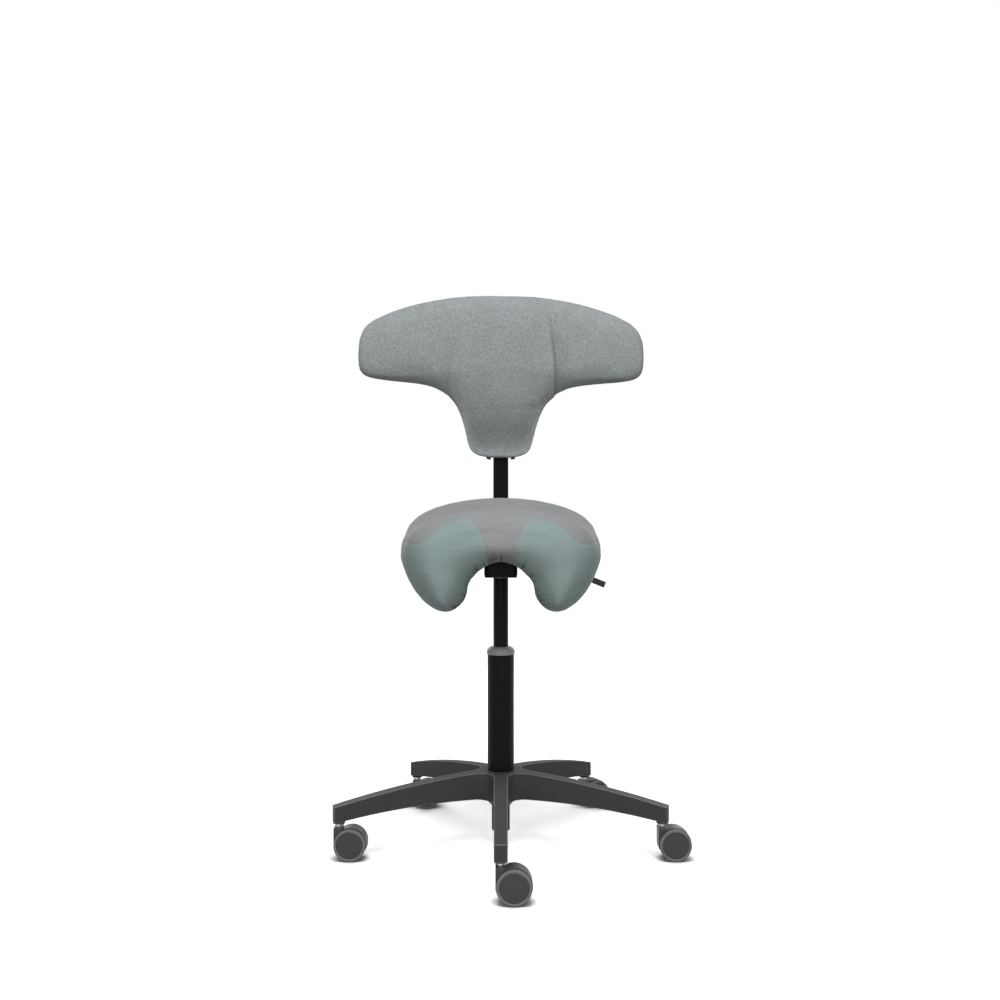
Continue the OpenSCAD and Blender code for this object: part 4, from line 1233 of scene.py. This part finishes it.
@dataclass
class Studio:
    """Pale floor, soft lamps and the camera at the picture's viewpoint."""

    lens_mm: float = 34.9
    sensor_mm: float = 36.0
    horizon_shift: float = 0.04
    side_shift: float = -0.0008
    floor_side: float = 60.0
    # The room's light on the stool. Where the room itself is seen it is 1, which is white.
    world_level: float = 0.09
    # The floor's colour where it is seen, and where it only lights the stool.
    paper: float = 2.2
    bounce: float = 0.22
    # The floor's glow to the camera beside the stool. It rises to 1 over these metres.
    near_glow: float = 0.24
    glow_span: Span = (0.42, 1.3)
    # A shadow painted on the floor: how near things darken its colour, down to which share, and over
    # which openness.
    contact_reach: float = 70 * MM
    contact_dark: float = 0.12
    contact_span: Span = (0.25, 0.95)
    contact_rays: int = 16

    def shown(self, tree: bpy.types.NodeTree) -> bpy.types.NodeSocket:
        """Tells where the room is seen, by the camera or in something glossy or clear.

        Args:
            tree: the node tree of the floor or the world.

        Returns:
            A socket that is 1 where it is seen and 0 where it lights something.
        """
        path = add_node(tree, "ShaderNodeLightPath").outputs
        seen = path["Is Camera Ray"]
        for ray in ("Is Glossy Ray", "Is Transmission Ray"):
            seen = add_node(
                tree, "ShaderNodeMath", {"operation": "MAXIMUM"}, {0: seen, 1: path[ray]}
            ).outputs[0]
        return seen

    def painted_contact_shadow(self, tree: bpy.types.NodeTree) -> bpy.types.NodeSocket:
        """Paints a shadow into the floor's colour where something stands close over it.

        Args:
            tree: the floor's node tree.

        Returns:
            A socket that is 1 in the open and falls under the wheels.
        """
        near = add_node(
            tree, "ShaderNodeAmbientOcclusion",
            {"samples": self.contact_rays, "Distance": self.contact_reach},
        ).outputs["AO"]
        return add_node(
            tree, "ShaderNodeMapRange",
            {"interpolation_type": "SMOOTHSTEP",
             "From Min": self.contact_span[0], "From Max": self.contact_span[1],
             "To Min": self.contact_dark, "To Max": 1.0},
            {"Value": near},
        ).outputs["Result"]

    def glow(self, tree: bpy.types.NodeTree, seen: bpy.types.NodeSocket) -> bpy.types.NodeSocket:
        """Makes the floor white to the camera, and less so near the stool, to keep its shadow.

        Args:
            tree: the floor's node tree.
            seen: 1 where the floor is seen.

        Returns:
            The glow's strength, which lights nothing.
        """
        place = add_node(tree, "ShaderNodeTexCoord").outputs["Object"]
        far = add_node(
            tree, "ShaderNodeVectorMath", {"operation": "LENGTH"}, {0: place}
        ).outputs["Value"]
        level = add_node(
            tree, "ShaderNodeMapRange",
            {"interpolation_type": "SMOOTHSTEP",
             "From Min": self.glow_span[0], "From Max": self.glow_span[1],
             "To Min": self.near_glow, "To Max": 1.0},
            {"Value": far},
        ).outputs["Result"]
        return add_node(
            tree, "ShaderNodeMath", {"operation": "MULTIPLY"}, {0: level, 1: seen}
        ).outputs[0]

    def floor(self) -> None:
        """Lays a pale floor that keeps the stool's shadow, with a contact shadow painted under the
        wheels.
        """
        bpy.ops.mesh.primitive_plane_add(size=self.floor_side)
        ground = bpy.context.object
        ground.name = "studio_floor"
        material = bpy.data.materials.new("white_studio_paper")
        material.use_nodes = True
        tree = material.node_tree
        tree.nodes.clear()
        seen, outside_painted_shadow = self.shown(tree), self.painted_contact_shadow(tree)
        shade = add_node(
            tree, "ShaderNodeMapRange", {"To Min": self.bounce, "To Max": self.paper}, {"Value": seen}
        ).outputs["Result"]
        pale, white = (
            add_node(
                tree, "ShaderNodeMath", {"operation": "MULTIPLY"}, {0: level, 1: outside_painted_shadow}
            ).outputs[0]
            for level in (shade, self.glow(tree, seen))
        )
        paper = add_node(tree, "ShaderNodeBsdfDiffuse", {}, {"Color": pale}).outputs[0]
        glow = add_node(tree, "ShaderNodeEmission", {}, {"Strength": white}).outputs[0]
        both = add_node(tree, "ShaderNodeAddShader", {}, {0: paper, 1: glow}).outputs[0]
        add_node(tree, "ShaderNodeOutputMaterial", {}, {"Surface": both})
        ground.data.materials.append(material)

    def world(self) -> None:
        """Lights the room evenly and shows white behind the stool."""
        world = bpy.data.worlds.new("studio_room")
        bpy.context.scene.world = world
        world.use_nodes = True
        tree = world.node_tree
        tree.nodes.clear()
        level = add_node(
            tree, "ShaderNodeMapRange", {"To Min": self.world_level, "To Max": 1.0},
            {"Value": self.shown(tree)},
        ).outputs["Result"]
        sky = add_node(
            tree, "ShaderNodeBackground", {"Color": (1.0, 1.0, 1.0, 1.0)}, {"Strength": level}
        ).outputs[0]
        add_node(tree, "ShaderNodeOutputWorld", {}, {"Surface": sky})

    def camera(self) -> None:
        """Sets the camera level at the picture's height and distance."""
        data = bpy.data.cameras.new("studio_camera")
        data.lens = self.lens_mm
        data.sensor_width = self.sensor_mm
        data.shift_x, data.shift_y = self.side_shift, self.horizon_shift
        camera = bpy.data.objects.new("studio_camera", data)
        camera.location = (0.0, -EYE_DISTANCE, EYE_HEIGHT)
        camera.rotation_euler = (math.radians(90), 0.0, 0.0)
        bpy.context.scene.collection.objects.link(camera)
        bpy.context.scene.camera = camera

    def build(self) -> None:
        """Sets up the floor, the room, the lamps and the camera."""
        self.floor()
        self.world()
        for lamp in LAMPS:
            lamp.hang()
        self.camera()
        bpy.context.scene.view_settings.view_transform = "Standard"


def main() -> None:
    """Builds the studio, dresses every node and makes the soft pieces."""
    logging.basicConfig(level=logging.INFO, format="%(message)s")
    Studio().build()
    nylon, enamel, acetal, steel = (f.build() for f in (NYLON, ENAMEL, ACETAL, ZINC))
    plastic, castor, tread = (f.build() for f in (POLYPROPYLENE, POLYAMIDE, TREAD))
    Base().dress(nylon, enamel, acetal, steel)
    Castors().dress(castor, tread, steel)
    Mechanism().dress(enamel, plastic, steel)
    SaddleCover().build(KNIT.build())
    BackCloth().build(HEATHER.build())


if __name__ == "__main__":
    main()
